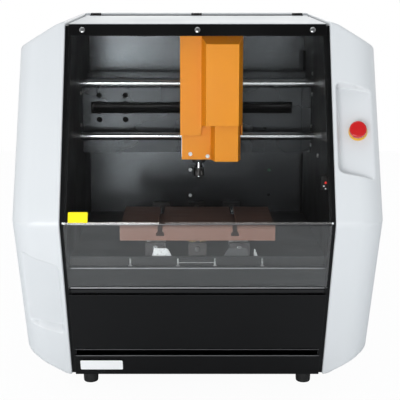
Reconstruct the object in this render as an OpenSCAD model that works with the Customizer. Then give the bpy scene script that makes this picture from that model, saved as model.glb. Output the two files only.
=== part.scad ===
// Enclosed desktop CNC milling machine, millimetres.
// +X is the operator's right, +Y the back, +Z up, and the origin is under the middle of the machine.
// The side outline of the cabinet has a nose at mid-height, and every front panel follows it.

/* [Cabinet] */
// Overall width over both side cowls
machine_w = 782; // [720:2:880]
// Overall depth from the nose to the back cover
machine_d = 610; // [580:5:700]
// Overall height at the rear edge of the cowls
machine_h = 842; // [812:2:912]
// Width of the milling chamber between the side plates
chamber_w = 544; // [520:2:580]
// Height of the nose, where the window is folded
nose_z = 418; // [388:1:448]
// Lean of the front above the nose, degrees from upright
upper_rake = 21.9; // [18:0.1:24]
// Lean of the front below the nose, degrees from upright
lower_rake = 20.8; // [16:0.1:22]
// Rise of the top from front to back, degrees
top_rake = 1.8; // [0:0.1:3]
// Radius of the rounded nose
nose_r = 23; // [12:1:40]
// Sheet thickness of the folded steel panels
sheet = 2; // [1.5:0.1:2.4]
// Thickness of the side plates
side_sheet = 3; // [2.5:0.1:4]
// Width of the outward flange round the edge of a side plate
side_flange = 13.6; // [11:0.1:15]

/* [Cowls] */
// Wall thickness of the moulded cowls
cowl_wall = 3; // [2:0.5:4]
// Inset of the cowl's upper and lower outer corners from its widest point
cowl_corner_inset = 4; // [0:1:12]
// Width of the level strip between a cowl's inner edge and its sloping upper edge
cowl_top_strip = 10; // [6:1:20]
// Distance of the upper outer corner below the overall height
cowl_upper_drop = 71; // [60:1:90]
// Height of the lower outer corner
cowl_lower_z = 96; // [80:1:120]
// Plan radius of the front outer edge
cowl_edge_r = 58; // [15:1:62]
// Radius of the other outer corners
cowl_corner_r = 10; // [4:1:14]
// Depth of a cowl recess at its inner wall
recess_depth = 26; // [18:1:30]
// Distance from the cowl's inner edge to the inner wall of a recess
recess_margin = 12; // [8:1:16]
// Corner radius of a recess
recess_r = 12; // [6:1:16]

/* [Hood] */
// Thickness of the clear window
window_t = 4; // [3:0.5:4]
// Height of the bottom edge of the window
window_bottom_z = 260.5; // [252:0.5:272]
// Height of the front band that clamps the window
band_h = 25; // [18:1:30]
// Distance of the hinge line from the back of the machine
hinge_setback = 84; // [70:1:110]
// Half the opening in front of the hinge line
hinge_gap = 5; // [4:0.5:6]
// Diameter of the hinge pins
hinge_pin_d = 4; // [3:0.5:5]

/* [Chamber] */
// Height of the chamber floor
floor_z = 335; // [324:1:337]
// Depth of the lower rear wall behind the nose
rear_wall_depth = 485; // [470:1:490]
// Depth of the upper rear wall behind the nose
upper_wall_depth = 510; // [500:1:520]
// Height of the ledge between the two rear walls, on a machine of the design height
ledge_height = 683; // [680:1:702]
// Depth of the beam's front face behind the nose
beam_depth = 338; // [330:1:345]
// Thickness of the beam plate
beam_t = 10; // [6:1:14]
// Lower edge of the beam plate, on a machine of the design height
beam_low = 514; // [510:1:520]
// Upper edge of the beam plate, on a machine of the design height
beam_high = 669; // [662:1:672]
// Height of the long slot in the beam
slot_h = 25; // [20:1:28]

/* [Base] */
// Height of the feet under the base pan
foot_h = 34; // [30:1:36]
// Diameter of a foot at its top
foot_d = 34; // [26:1:38]
// Distance between the feet across the machine
foot_span_x = 494; // [460:1:500]
// Lower edge of the drawer front
drawer_z = 104; // [100:1:110]
// Height of the drawer front
drawer_h = 142; // [130:1:144]
// Depth of the drawer box behind its front
drawer_box_d = 300; // [240:5:320]

/* [X axis] */
// Diameter of the X guide rods
x_rod_d = 20; // [16:1:22]
// Depth of the X rods behind the nose
x_rod_depth = 298; // [294:1:302]
// Height of the upper X rod, on a machine of the design height
x_rod_high = 684; // [680:1:692]
// Height of the lower X rod, on a machine of the design height
x_rod_low = 560; // [554:1:564]
// Diameter of the X lead screw
x_screw_d = 12; // [8:1:14]
// Position of the carriage's centre along X
carriage_x = 31.5; // [0:0.5:60]

/* [Z axis and spindle] */
// Position of the spindle's axis along X
spindle_x = 4; // [0:1:8]
// Depth of the spindle's axis behind the nose
spindle_depth = 234; // [233:0.5:236]
// Diameter of the spindle motor's body
spindle_d = 46; // [40:1:46]
// Diameter of the spindle shaft
spindle_shaft_d = 14; // [12:1:16]
// Diameter of the collet nut
collet_nut_d = 24; // [20:1:28]
// Bore of the collet
collet_bore = 6; // [3:0.5:8]
// Diameter of the Z guide rods
z_rod_d = 10; // [8:1:12]
// Depth of the Z rods behind the nose
z_rod_depth = 244; // [243:1:246]
// Distance between the Z rods
z_rod_span = 34; // [33:0.5:35]
// Diameter of the Z lead screw
z_screw_d = 8; // [6:0.5:9]

/* [Y axis and table] */
// Width of the work table
table_w = 332; // [280:1:360]
// Length of the work table, front to back
table_l = 204; // [160:1:210]
// Thickness of the work table
table_t = 27; // [24:1:30]
// Distance between the two T-slots
tslot_span = 160; // [120:1:200]
// Width of a T-slot at the table's top
tslot_neck = 10.5; // [8:0.5:12]
// Width of a T-slot at its bottom
tslot_head = 17; // [14:0.5:20]
// Diameter of the Y guide rods
y_rod_d = 12; // [10:1:14]
// Distance between the Y guide rods
y_rod_span = 180; // [150:1:200]
// Diameter of the Y lead screw
y_screw_d = 12; // [8:1:12]

/* [Clearances] */
// Radial running clearance of bearings and pins
run_clear = 0.05; // [0.02:0.01:0.1]
// Radial clearance of a lead screw in its nut
nut_clear = 0.3; // [0.3:0.05:0.5]
// Gap between the hood or the drawer and the side plates
panel_gap = 1; // [0.6:0.1:1.5]
// Gap between the two covers of the head
cover_gap = 1.5; // [1:0.1:2]

/* [Hidden] */
$fn = 48;
// overshoot of a cut past the face it opens
over = 1;
nose_y = -machine_d / 2;
back_y = machine_d / 2;
chamber_x = chamber_w / 2;
cowl_x = chamber_x + side_flange;
cowl_bottom_z = foot_h - 6;
// lower end of the cowls, and the height at which their sloping lower edge meets the inner edge
cowl_low_z = cowl_bottom_z + 3;
cowl_slope_z = cowl_bottom_z - 2;
// inward offsets of the skins: the hood and drawer, then the edge of the side plates
skin_off = 4;
frame_off = skin_off + window_t + panel_gap;
// a sharp nose this far forward leaves the rounded nose at nose_y
nose_half = (upper_rake + lower_rake) / 2;
nose_tip_y = nose_y - nose_r * (1 / cos(nose_half) - 1);
lid_x = chamber_x + side_flange / 2 - panel_gap;
// the heights inside the chamber are given for this overall height, and rise() fits them to the real one
design_h = 842;
function rise(z) = floor_z + (z - floor_z) * (machine_h - floor_z) / (design_h - floor_z);
// the same for lengths along the front above the nose
upper_scale = (machine_h - nose_z) / (design_h - nose_z);

// front line of the cabinet at height z, moved inwards by off
function front_y(z, off) = z > nose_z
    ? nose_tip_y + (z - nose_z) * tan(upper_rake) + off / cos(upper_rake)
    : nose_tip_y + (nose_z - z) * tan(lower_rake) + off / cos(lower_rake);
// top line of the cabinet at depth y, moved inwards by off
function top_z(y, off) = machine_h - (back_y - y) * tan(top_rake) - off / cos(top_rake);
// height at which the front line meets the top line
front_run_y = nose_tip_y - nose_z * tan(upper_rake);
top_front_z = (machine_h - (back_y - front_run_y) * tan(top_rake)) / (1 - tan(upper_rake) * tan(top_rake));

// base
pan_z = cowl_bottom_z + frame_off;
lower_panel_z1 = drawer_z - 21;
lower_panel_z0 = pan_z - side_sheet - 4;
apron_z = drawer_z + drawer_h + 3;
trough_z = floor_z - 20;
trough_y = front_y(trough_z, frame_off) + 17;
foot_taper = 4;
foot_stud_d = 8;
foot_nut_d = 15;
foot_nut_h = 5;
foot_stud_h = pan_z + foot_nut_h + 3;

// drawer
drawer_x = chamber_x - 17;
drawer_box_z = drawer_z + 6;
drawer_box_h = 110;
drawer_wall = 1.5;
runner_t = 2;
runner_h = 36;
runner_gap = 0.3;
runner_end_gap = 6;
runner_back_gap = 30;

// rear
rear_wall_y = nose_y + rear_wall_depth;
upper_wall_y = nose_y + upper_wall_depth;
ledge_z = rise(ledge_height);
ledge_y = rear_wall_y - 20;
ledge_h = 14;
back_cover_y = back_y - frame_off;
skirt_z = machine_h - 60;
foot_xs = [-foot_span_x / 2, foot_span_x / 2];
foot_ys = [front_y(pan_z, frame_off) + 38, back_cover_y - 40];
vent_z = ledge_z - 210;
vent_xs = [-150, 150];
vent_rows = 9;
vent_l = 90;
vent_w = 5;
vent_pitch = 14;

// hood
band_off = 1;
band_z1 = top_front_z - 5;
band_z0 = band_z1 - band_h;
window_fold_gap = 0.3;
window_z1 = top_front_z - skin_off - window_t - window_fold_gap;
lid_flange_inset = 4;
lid_flange_h = 14;
hinge_y = back_y - hinge_setback;
hinge_z = top_z(hinge_y, skin_off) + 2;
hinge_xs = [-chamber_x + 17, 0, chamber_x - 17];
barrel_d = hinge_pin_d + 5;
barrel_w = 16;
barrel_play = 0.3;
leaf_w = 22;
leaf_l = 28;
leaf_gap = 1;
hood_screw_xs = [-chamber_x + 24, 0, chamber_x - 24];
hood_screw_z = (band_z0 + band_z1) / 2;
hood_screw_d = 5;
hood_screw_head_d = 12;
hood_screw_head_h = 2;
hood_screw_dome_h = 1.4;

// X axis
x_rod_y = nose_y + x_rod_depth;
x_rod_zs = [rise(x_rod_low), rise(x_rod_high)];
x_rod_stand_out = 12;
x_collar_d = x_rod_d + 14;
x_collar_l = 8;
x_block = [44, 36, 40];
x_block_dx = 42;
beam_y = nose_y + beam_depth;
beam_back_y = beam_y + beam_t;
slot_z = (x_rod_zs[0] + x_rod_zs[1]) / 2;
slot_x0 = -chamber_x + 22;
slot_x1 = chamber_x - 47;
beam_hole_d = 13.4;
beam_hole_xs = [slot_x0 + 18, slot_x0 + 80];
beam_hole_pitch = 19.3;
x_screw_y = beam_back_y + 28;
x_screw_x0 = slot_x0 - 18;
motor_w = 56;
motor_l = 62;
motor_chamfer = 3;
motor_corner = 9;
motor_socket = 12;
stub_d = 6.35;
stub_play = 0.2;
stub_l = 10;
coupler_d = 22;
coupler_l = 22;
coupler_gap = 12;
pilot_d = 30;
bracket_t = 6;
x_motor_x = chamber_x + side_sheet + bracket_t;
bearing_half = 19;
bearing_t = 14;
bearing_cap = 12;
carriage_t = 10;
carriage_y = x_rod_y - x_block[1] / 2 - carriage_t;
nut_arm = [56, 14];
nut_block_half = 18;
nut_block_w = 32;

// head: a flat panel on the left, a raised box on the right, and a sliding cover below
head_w = 139;
head_x0 = carriage_x - head_w / 2;
head_x1 = carriage_x + head_w / 2;
head_flat_y = nose_y + 200;
head_raised_y = nose_y + 168;
head_rear_y = nose_y + 265;
head_top_z = rise(796);
head_z = rise(575);
head_lower_z = rise(519);
head_lower_top_z = rise(676);
head_bevel_z = 17;
head_step = 47;
head_bevel_x = 10;
notch_h = 25;
notch_r = 11;
lower_step = 68;
lower_bevel_x = 9;
lower_bevel_end = 7;
lower_flat_y = head_flat_y + 8;
lower_raised_y = head_raised_y + 10;
shelf_t = 6;
shelf_front = 30;
shelf_side = 32;
shelf_z = head_top_z - 14 - motor_w - shelf_t;
z_drive_x = carriage_x + 33.5;
z_rod_y = nose_y + z_rod_depth;
z_rod_xs = [z_drive_x - z_rod_span / 2, z_drive_x + z_rod_span / 2];
z_block = [20, 26, 26];
z_block_dx = 2;
z_coupler_d = 18;
z_coupler_l = 14;
slide_y = z_rod_y + z_block[1] / 2;
slide_t = 8;
slide_z0 = head_lower_z + 87;
slide_z1 = shelf_z - 14;
slide_foot_z = head_lower_z + 15;
z_bearing_zs = [slide_z0 + 2, slide_z1 - 2 - z_block[2]];
z_nut_size = [18, 11, 20];
rod_block_h = 8;
rod_block_z = head_lower_z - rod_block_h / 2;
rod_block_half = z_rod_span / 2 + 8;
spindle_y = nose_y + spindle_depth;
spindle_top_z = rise(656);
spindle_nose_z = head_lower_z - 9;
spindle_nose_d = 30;
saddle_w = 36;
nut_z = head_lower_z - 41;
collet_nut_h = 18;
collet_d = 10;
collet_l = 30;
collet_proud = 3;
collet_slit = 0.4;
spanner_groove_d = 4.4;

// Y axis and table
y_rod_z = floor_z + 15;
y_block = [40, 40, 24];
y_block_z = y_rod_z - y_block[2] / 2;
saddle_t = 6;
saddle_edge = 5;
saddle_z = y_block_z + y_block[2];
table_z = saddle_z + saddle_t;
table_y = nose_y + 70;
tslot_neck_h = 9;
tslot_head_h = 8;
saddle_l = 120;
saddle_y = table_y + (table_l - saddle_l) / 2;
y_rod_xs = [-y_rod_span / 2, y_rod_span / 2];
y_support = [44, 14, 27];
y_support_ys = [nose_y + 70, rear_wall_y - y_support[1]];
y_nut_size = [40, 24];
y_motor_l = (back_cover_y - rear_wall_y - sheet) * 0.54;

// holes of the lower rear wall
rear_hole_d = 8;
rear_hole_xs = [slot_x0 + 234, slot_x1 - 39];
rear_hole_zs = [floor_z + 44, floor_z + 109];
ledge_hole_d = 5;
ledge_hole_xs = [-chamber_x + 24, -chamber_x + 156, chamber_x - 30];
screw_hole_d = 16;

// recesses of the cowls: heights along the leaning front of the inner wall, then of the outer end
recess_wide = 140;
stop_recess_inner = [113, 308] * upper_scale;
stop_recess_outer = [83, 277] * upper_scale;
grip_recess_inner = [-291, -107];
grip_recess_outer = [-235, -47];
recess_tilt = 9;
recess_x = cowl_x + recess_margin;

// emergency stop, in the frame of the right recess's floor
estop_x = (machine_w / 2 - cowl_x) * 0.408;
estop_z = 203 * upper_scale;
estop_cap_d = 36;
estop_cap_h = 14;
estop_cap_edge_r = 4;
estop_cap_rise = 6.3;
estop_stem_d = 24;
estop_stem_depth = 16;
estop_spigot_d = 12;
estop_collar_d = 40;
estop_collar_h = 5;

// mains inlet, power supply and control board
inlet_x = -chamber_x + 62;
inlet_z = pan_z + 60;
inlet_body = [28, 36, 48];
inlet_flange = [32, 3, 62];
inlet_y = back_cover_y + sheet;
socket_size = [23, 18, 16];
socket_dz = 12;
rocker_hole = [20, 14, 18];
rocker_w = 19.2;
rocker_pin_d = 3;
rocker_pin_l = 23.6;
rocker_dz = 12;
rocker_dy = 4;
psu_size = [215, 50, 115];
psu_x = -240;
psu_z = floor_z + 77;
psu_slot = [6, 79];
psu_slot_pitch = 16;
psu_slots = 12;
board_size = [160, 1.6, 100];
board_x = 60;
board_z = floor_z + 90;
board_post_d = 6;
board_post_l = 8;
board_post_inset = 6;
board_chip = [24, 17, 30];
board_chip_pitch = 36;

// door switch
switch_size = [14, 20, 30];
switch_z = nose_z + 63;

// outline in the YZ plane drawn as (y, z), extruded across X from x0 to x1
module across_x(x0, x1) {
    translate([x0, 0, 0])
        rotate([90, 0, 90])
            linear_extrude(x1 - x0)
                children();
}

// outline in the XZ plane drawn as (x, z), extruded along Y from y0 to y1
module along_y(y0, y1) {
    translate([0, y1, 0])
        rotate([90, 0, 0])
            linear_extrude(y1 - y0)
                children();
}

// box given by its low and high corners
module span(lo, hi) {
    translate(lo)
        cube(hi - lo);
}

// rectangle given by its low and high corners
module rect(lo, hi) {
    translate(lo)
        square(hi - lo);
}

// rods along X, Y and Z, from the first value to the second
module rod_x(d, x0, x1, y, z) {
    translate([x0, y, z])
        rotate([0, 90, 0])
            cylinder(h = x1 - x0, d = d);
}

module rod_y(d, y0, y1, x, z) {
    translate([x, y1, z])
        rotate([90, 0, 0])
            cylinder(h = y1 - y0, d = d);
}

module rod_z(d, z0, z1, x, y) {
    translate([x, y, z0])
        cylinder(h = z1 - z0, d = d);
}

module both_sides() {
    children();
    mirror([1, 0, 0])
        children();
}

// side outline of the cabinet, drawn as (y, z) and moved inwards by off;
// a long wedge rounds only the nose
module side_outline(off) {
    reach = 300;
    offset(delta = -off)
        intersection() {
            offset(r = 6)
                offset(delta = -6)
                    polygon([
                        [front_y(cowl_bottom_z, 0), cowl_bottom_z],
                        [nose_tip_y, nose_z],
                        [front_y(top_front_z, 0), top_front_z],
                        [back_y, machine_h],
                        [back_y, cowl_bottom_z]
                    ]);
            offset(r = nose_r)
                offset(delta = -nose_r)
                    polygon([
                        [front_y(cowl_bottom_z - reach, 0), cowl_bottom_z - reach],
                        [nose_tip_y, nose_z],
                        [front_y(machine_h + reach, 0), machine_h + reach],
                        [back_y + reach, machine_h + reach],
                        [back_y + reach, cowl_bottom_z - reach]
                    ]);
        }
}

// skin between two inward offsets of the side outline, kept inside a rectangle
module skin(outer, inner, lo, hi) {
    intersection() {
        difference() {
            side_outline(outer);
            side_outline(inner);
        }
        rect(lo, hi);
    }
}

// straight strip of the front above or below the nose, between two inward offsets
module front_strip(outer, inner, z0, z1) {
    polygon([
        [front_y(z0, outer), z0],
        [front_y(z1, outer), z1],
        [front_y(z1, inner), z1],
        [front_y(z0, inner), z0]
    ]);
}

module base_pan() {
    bottom = pan_z - side_sheet;
    y0 = front_y(bottom, frame_off);
    color([0.09, 0.09, 0.1])
        difference() {
            span([-cowl_x, y0, bottom], [cowl_x, back_cover_y, pan_z]);
            for (x = foot_xs, y = foot_ys)
                rod_z(foot_stud_d, bottom - over, pan_z + over, x, y);
        }
}

// four moulded feet, each with its stud and nut through the pan
module feet() {
    color([0.08, 0.08, 0.08])
        for (x = foot_xs, y = foot_ys)
            translate([x, y, 0]) {
                cylinder(h = pan_z - side_sheet, d1 = foot_d - foot_taper, d2 = foot_d);
                cylinder(h = foot_stud_h, d = foot_stud_d);
                translate([0, 0, pan_z])
                    cylinder(h = foot_nut_h, d = foot_nut_d, $fn = 6);
            }
}

// folded side plate of the right side: a wall with a flange turned outwards all round
module side_plate() {
    difference() {
        across_x(chamber_x, cowl_x)
            side_outline(frame_off);
        across_x(chamber_x + side_sheet, cowl_x + over)
            side_outline(frame_off + side_sheet);
        for (z = x_rod_zs)
            rod_x(x_rod_d, chamber_x - over, cowl_x, x_rod_y, z);
    }
}

// the right plate also carries the X motor, whose shaft passes through it
module side_plate_right() {
    color([0.1, 0.1, 0.1])
        difference() {
            side_plate();
            rod_x(pilot_d, chamber_x - over, cowl_x, x_screw_y, slot_z);
        }
}

module side_plate_left() {
    color([0.1, 0.1, 0.1])
        mirror([1, 0, 0])
            side_plate();
}

// chamber floor, folded down at the front into a trough and an apron behind the window's foot
module floor_pan() {
    apron_y = front_y(trough_z, frame_off);
    color([0.13, 0.13, 0.14]) {
        across_x(-chamber_x, chamber_x) {
            skin(frame_off, frame_off + sheet, [nose_y, apron_z], [0, trough_z]);
            rect([apron_y, trough_z - sheet], [trough_y, trough_z]);
            rect([trough_y - sheet, trough_z - sheet], [trough_y, floor_z]);
            rect([trough_y - sheet, floor_z - sheet], [rear_wall_y, floor_z]);
        }
    }
}

module lower_front_panel() {
    color([0.1, 0.1, 0.1])
        across_x(-lid_x, lid_x)
            front_strip(frame_off - sheet, frame_off, lower_panel_z0, lower_panel_z1);
}

// lower rear wall with its ledge, which carries the upper wall
module lower_rear_wall() {
    color([0.12, 0.12, 0.13])
        difference() {
            across_x(-chamber_x, chamber_x) {
                rect([rear_wall_y, pan_z], [rear_wall_y + sheet, ledge_z]);
                rect([ledge_y, ledge_z - sheet], [rear_wall_y + sheet, ledge_z]);
                rect([ledge_y, ledge_z - sheet], [ledge_y + sheet, ledge_z + ledge_h]);
            }
            for (x = rear_hole_xs, z = rear_hole_zs)
                rod_y(rear_hole_d, rear_wall_y - over, rear_wall_y + sheet + over, x, z);
            for (x = ledge_hole_xs)
                rod_y(ledge_hole_d, ledge_y - over, ledge_y + sheet + over, x, ledge_z + ledge_h / 2);
            rod_y(screw_hole_d, rear_wall_y - over, rear_wall_y + sheet + over, 0, y_rod_z);
        }
}

module upper_rear_wall() {
    color([0.13, 0.13, 0.15])
        across_x(-chamber_x, chamber_x) {
            rect([upper_wall_y, ledge_z], [upper_wall_y + sheet, top_z(upper_wall_y, frame_off + sheet)]);
            rect([ledge_y + sheet, ledge_z], [upper_wall_y + sheet, ledge_z + sheet]);
        }
}

// back cover with two fields of louvre slots and the inlet's cut-out
module back_cover() {
    cut_y0 = back_cover_y - over;
    cut_y1 = back_cover_y + sheet + over;
    color([0.1, 0.1, 0.1])
        difference() {
            span([-cowl_x, back_cover_y, pan_z], [cowl_x, back_cover_y + sheet, top_z(back_y, frame_off)]);
            for (x = vent_xs, i = [0:vent_rows - 1])
                translate([x, 0, vent_z + i * vent_pitch])
                    span([-vent_l / 2, cut_y0, 0], [vent_l / 2, cut_y1, vent_w]);
            translate([inlet_x, 0, inlet_z])
                span([-inlet_flange[0] / 2 + 1, cut_y0, -inlet_flange[2] / 2 + 2],
                    [inlet_flange[0] / 2 - 1, cut_y1, inlet_flange[2] / 2 - 2]);
        }
}

// tray over the back cover: a low strip for the hinges, then a step up to the height of the cowls
module top_rear_cover() {
    front = hinge_y + hinge_gap;
    step_y = hinge_y + leaf_l + 2;
    skirt_y = back_y - skin_off;
    color([0.88, 0.91, 0.93]) {
        across_x(-cowl_x, cowl_x) {
            skin(skin_off, skin_off + sheet, [front, skirt_z], [step_y + over, machine_h]);
            skin(0, skin_off + sheet, [step_y, skirt_z], [step_y + sheet, machine_h]);
            skin(0, sheet, [step_y, skirt_z], [skirt_y, machine_h]);
            intersection() {
                side_outline(0);
                rect([skirt_y - sheet, skirt_z], [skirt_y, machine_h]);
            }
        }
        both_sides()
            across_x(cowl_x - sheet, cowl_x) {
                skin(skin_off, frame_off, [front, skirt_z], [step_y + over, machine_h]);
                skin(0, frame_off, [step_y, skirt_z], [back_y - frame_off, machine_h]);
            }
    }
}

// front view of the right cowl's lower half, drawn as (x, z); its sloping edge starts below the inner edge
module cowl_low_view() {
    corner_x = machine_w / 2 - cowl_corner_inset;
    inner = 2 * cowl_x - corner_x;
    offset(r = cowl_corner_r)
        offset(delta = -cowl_corner_r)
            polygon([
                [inner, 2 * cowl_slope_z - cowl_lower_z],
                [corner_x, cowl_lower_z],
                [machine_w / 2, nose_z],
                [machine_w / 2, machine_h + cowl_upper_drop],
                [inner, machine_h + cowl_upper_drop]
            ]);
}

// the same for its upper half
module cowl_high_view() {
    corner_x = machine_w / 2 - cowl_corner_inset;
    corner_z = machine_h - cowl_upper_drop;
    strip_x = cowl_x + cowl_top_strip;
    lean = cowl_corner_inset / (corner_z - nose_z);
    offset(r = cowl_corner_r)
        offset(delta = -cowl_corner_r)
            polygon([
                [cowl_x - machine_w / 4, 0],
                [machine_w / 2 + nose_z * lean, 0],
                [corner_x, corner_z],
                [strip_x, machine_h],
                [2 * strip_x - corner_x, machine_h + cowl_upper_drop],
                [cowl_x - machine_w / 4, machine_h + cowl_upper_drop]
            ]);
}

module cowl_plan() {
    offset(r = cowl_edge_r)
        offset(delta = -cowl_edge_r)
            rect([0, 0], [machine_w / 2, machine_d * 2]);
}

// right cowl as a solid whose walls lie off inside its outer surface
module cowl_body(off) {
    intersection() {
        along_y(nose_y - over, back_y)
            intersection() {
                offset(delta = -off)
                    cowl_low_view();
                rect([cowl_x - over, cowl_low_z + off], [machine_w, machine_h + over]);
            }
        translate([0, back_y, machine_h])
            rotate([top_rake, 0, 0])
                translate([0, 0, -machine_h])
                    along_y(-1.2 * machine_d, 0.2 * machine_d)
                        offset(delta = -off)
                            cowl_high_view();
        across_x(cowl_x - 2 * over, machine_w / 2 + over)
            side_outline(off);
        union() {
            intersection() {
                cowl_prism(-upper_rake, off);
                span([0, nose_y - over, nose_z], [machine_w, back_y + over, machine_h + over]);
            }
            intersection() {
                cowl_prism(lower_rake, off);
                span([0, nose_y - over, 0], [machine_w, back_y + over, nose_z]);
            }
        }
    }
}

// plan of the cowl carried along one lean of the front
module cowl_prism(lean, off) {
    translate([0, nose_tip_y, nose_z])
        rotate([lean, 0, 0])
            translate([0, 0, -machine_h])
                linear_extrude(2 * machine_h)
                    offset(delta = -off)
                        cowl_plan();
}

// scoop cutter: floor at recess_depth by the inner wall and shallower outwards;
// the outline is drawn as (x, z) along the leaning front, grown by wall
module scoop(lean, inner_z, outer_z, wall) {
    translate([recess_x, nose_tip_y, nose_z])
        rotate([lean, 0, 0])
            translate([0, recess_depth, 0])
                rotate([0, 0, -recess_tilt])
                    along_y(-3 * recess_depth, wall)
                        offset(delta = wall)
                            offset(r = recess_r)
                                offset(delta = -recess_r)
                                    polygon([
                                        [0, inner_z[0]],
                                        [0, inner_z[1]],
                                        [recess_wide, outer_z[1]],
                                        [recess_wide, outer_z[0]]
                                    ]);
}

// shell open towards the side plate, with the scoop's walls moulded in
module cowl(lean, inner_z, outer_z) {
    difference() {
        union() {
            difference() {
                cowl_body(0);
                cowl_body(cowl_wall);
            }
            intersection() {
                cowl_body(0);
                scoop(lean, inner_z, outer_z, cowl_wall);
            }
        }
        scoop(lean, inner_z, outer_z, 0);
        span([0, nose_y - over, 0], [cowl_x, back_y + over, machine_h + over]);
    }
}

module cowl_right() {
    color([0.88, 0.91, 0.93])
        difference() {
            cowl(-upper_rake, stop_recess_inner, stop_recess_outer);
            at_estop()
                translate([0, 0, -cowl_wall - over])
                    cylinder(h = cowl_wall + 2 * over, d = estop_stem_d + 2);
        }
}

module cowl_left() {
    color([0.88, 0.91, 0.93])
        mirror([1, 0, 0])
            cowl(lower_rake, grip_recess_inner, grip_recess_outer);
}

// frame whose Z points out of the recess floor at the button
module at_estop() {
    translate([recess_x, nose_tip_y, nose_z])
        rotate([-upper_rake, 0, 0])
            translate([0, recess_depth, 0])
                rotate([0, 0, -recess_tilt])
                    translate([estop_x, 0, estop_z])
                        rotate([90, 0, 0])
                            children();
}

module estop_collar() {
    color([0.96, 0.74, 0.2])
        at_estop()
            difference() {
                cylinder(h = estop_collar_h, d1 = estop_collar_d, d2 = estop_collar_d - 3);
                translate([0, 0, -over])
                    cylinder(h = estop_collar_h + 2 * over, d = estop_stem_d + 2 * run_clear);
            }
}

module estop_stem() {
    color([0.15, 0.15, 0.15])
        at_estop() {
            translate([0, 0, -estop_stem_depth])
                cylinder(h = estop_stem_depth + estop_collar_h + estop_cap_rise - 0.3, d = estop_stem_d);
            cylinder(h = estop_collar_h + estop_cap_h, d = estop_spigot_d);
        }
}

// mushroom cap turned on the stem's spigot
module estop_cap() {
    low = estop_collar_h + estop_cap_rise;
    rim = estop_cap_d / 2;
    color([0.8, 0.1, 0.1])
        at_estop()
            rotate_extrude()
                difference() {
                    polygon(concat(
                        [[0, low], [rim - 1, low], [rim, low + 1]],
                        [for (a = [0:15:90])
                            [rim - estop_cap_edge_r * (1 - cos(a)),
                                low + estop_cap_h - 5 + estop_cap_edge_r * sin(a)]],
                        [[0, low + estop_cap_h]]
                    ));
                    square([estop_spigot_d / 2 + run_clear, estop_collar_h + estop_cap_h + 0.3]);
                }
}

// folded lid: the top, a strip behind the window's upper edge and a flange on each side
module hood_lid() {
    rear = hinge_y - hinge_gap;
    strip_off = skin_off + window_t;
    flange_front = front_y(top_front_z, frame_off + sheet);
    flange_x = chamber_x - lid_flange_inset;
    color([0.9, 0.9, 0.89]) {
        across_x(-lid_x, lid_x)
            skin(skin_off, skin_off + sheet, [nose_y, window_z1 + window_fold_gap], [rear, machine_h]);
        difference() {
            across_x(-chamber_x + panel_gap, chamber_x - panel_gap)
                intersection() {
                    side_outline(skin_off);
                    front_strip(strip_off, strip_off + sheet, band_z0 + sheet, machine_h);
                }
            at_hood_screws()
                hood_shank(over);
        }
        both_sides()
            across_x(flange_x, flange_x + sheet)
                skin(skin_off, skin_off + lid_flange_h,
                    [flange_front, window_z1 - lid_flange_h], [upper_wall_y - 2 * sheet, machine_h]);
    }
}

// clear sheet folded once at the nose
module hood_window() {
    color([0.7, 0.75, 0.78, 0.35])
        difference() {
            across_x(-lid_x, lid_x)
                skin(skin_off, skin_off + window_t, [nose_y, window_bottom_z], [0, window_z1]);
            at_hood_screws()
                hood_shank(over);
        }
}

module hood_band() {
    color([0.07, 0.07, 0.07])
        difference() {
            across_x(-lid_x, lid_x)
                front_strip(band_off, skin_off, band_z0, band_z1);
            at_hood_screws()
                hood_shank(over);
        }
}

// frames whose Z points out of the band at each of its screws
module at_hood_screws() {
    for (x = hood_screw_xs)
        translate([x, front_y(hood_screw_z, band_off), hood_screw_z])
            rotate([90 - upper_rake, 0, 0])
                children();
}

// screw shank that passes the band, the window and the lid's strip, longer at both ends by extra
module hood_shank(extra) {
    depth = skin_off + window_t + sheet;
    translate([0, 0, -depth - extra])
        cylinder(h = depth + 2 * extra, d = hood_screw_d);
}

module hood_screws() {
    color([0.8, 0.8, 0.8])
        at_hood_screws() {
            cylinder(h = hood_screw_head_h, d = hood_screw_head_d);
            translate([0, 0, hood_screw_head_h])
                cylinder(h = hood_screw_dome_h, d1 = hood_screw_head_d, d2 = hood_screw_head_d - 5);
            hood_shank(over);
        }
}

// barrel of a hinge between two values of x
module barrel(x0, x1) {
    rod_x(barrel_d, x0, x1, hinge_y, hinge_z);
}

// leaves under the lid, each with the middle barrel of its hinge
module hinge_moving_leaves() {
    color([0.12, 0.12, 0.12])
        for (x = hinge_xs)
            difference() {
                union() {
                    barrel(x - barrel_w / 2, x + barrel_w / 2);
                    across_x(x - barrel_w / 2, x + barrel_w / 2)
                        leaf_outline(-1);
                    across_x(x - leaf_w / 2, x + leaf_w / 2)
                        intersection() {
                            leaf_outline(-1);
                            rect([hinge_y - leaf_l, 0], [hinge_y - barrel_d / 2 - leaf_gap, machine_h]);
                        }
                }
                barrel_bore(x, hinge_pin_d + 2 * run_clear);
            }
}

module barrel_bore(x, d) {
    rod_x(d, x - leaf_w, x + leaf_w, hinge_y, hinge_z);
}

// hinge leaf under the skin, on the front (-1) or rear (1) side of the hinge line
module leaf_outline(side) {
    far = hinge_y + side * leaf_l;
    polygon([
        [hinge_y, top_z(hinge_y, skin_off + sheet)],
        [far, top_z(far, skin_off + sheet)],
        [far, top_z(far, skin_off + 2 * sheet)],
        [hinge_y, top_z(hinge_y, skin_off + 2 * sheet)]
    ]);
}

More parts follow.
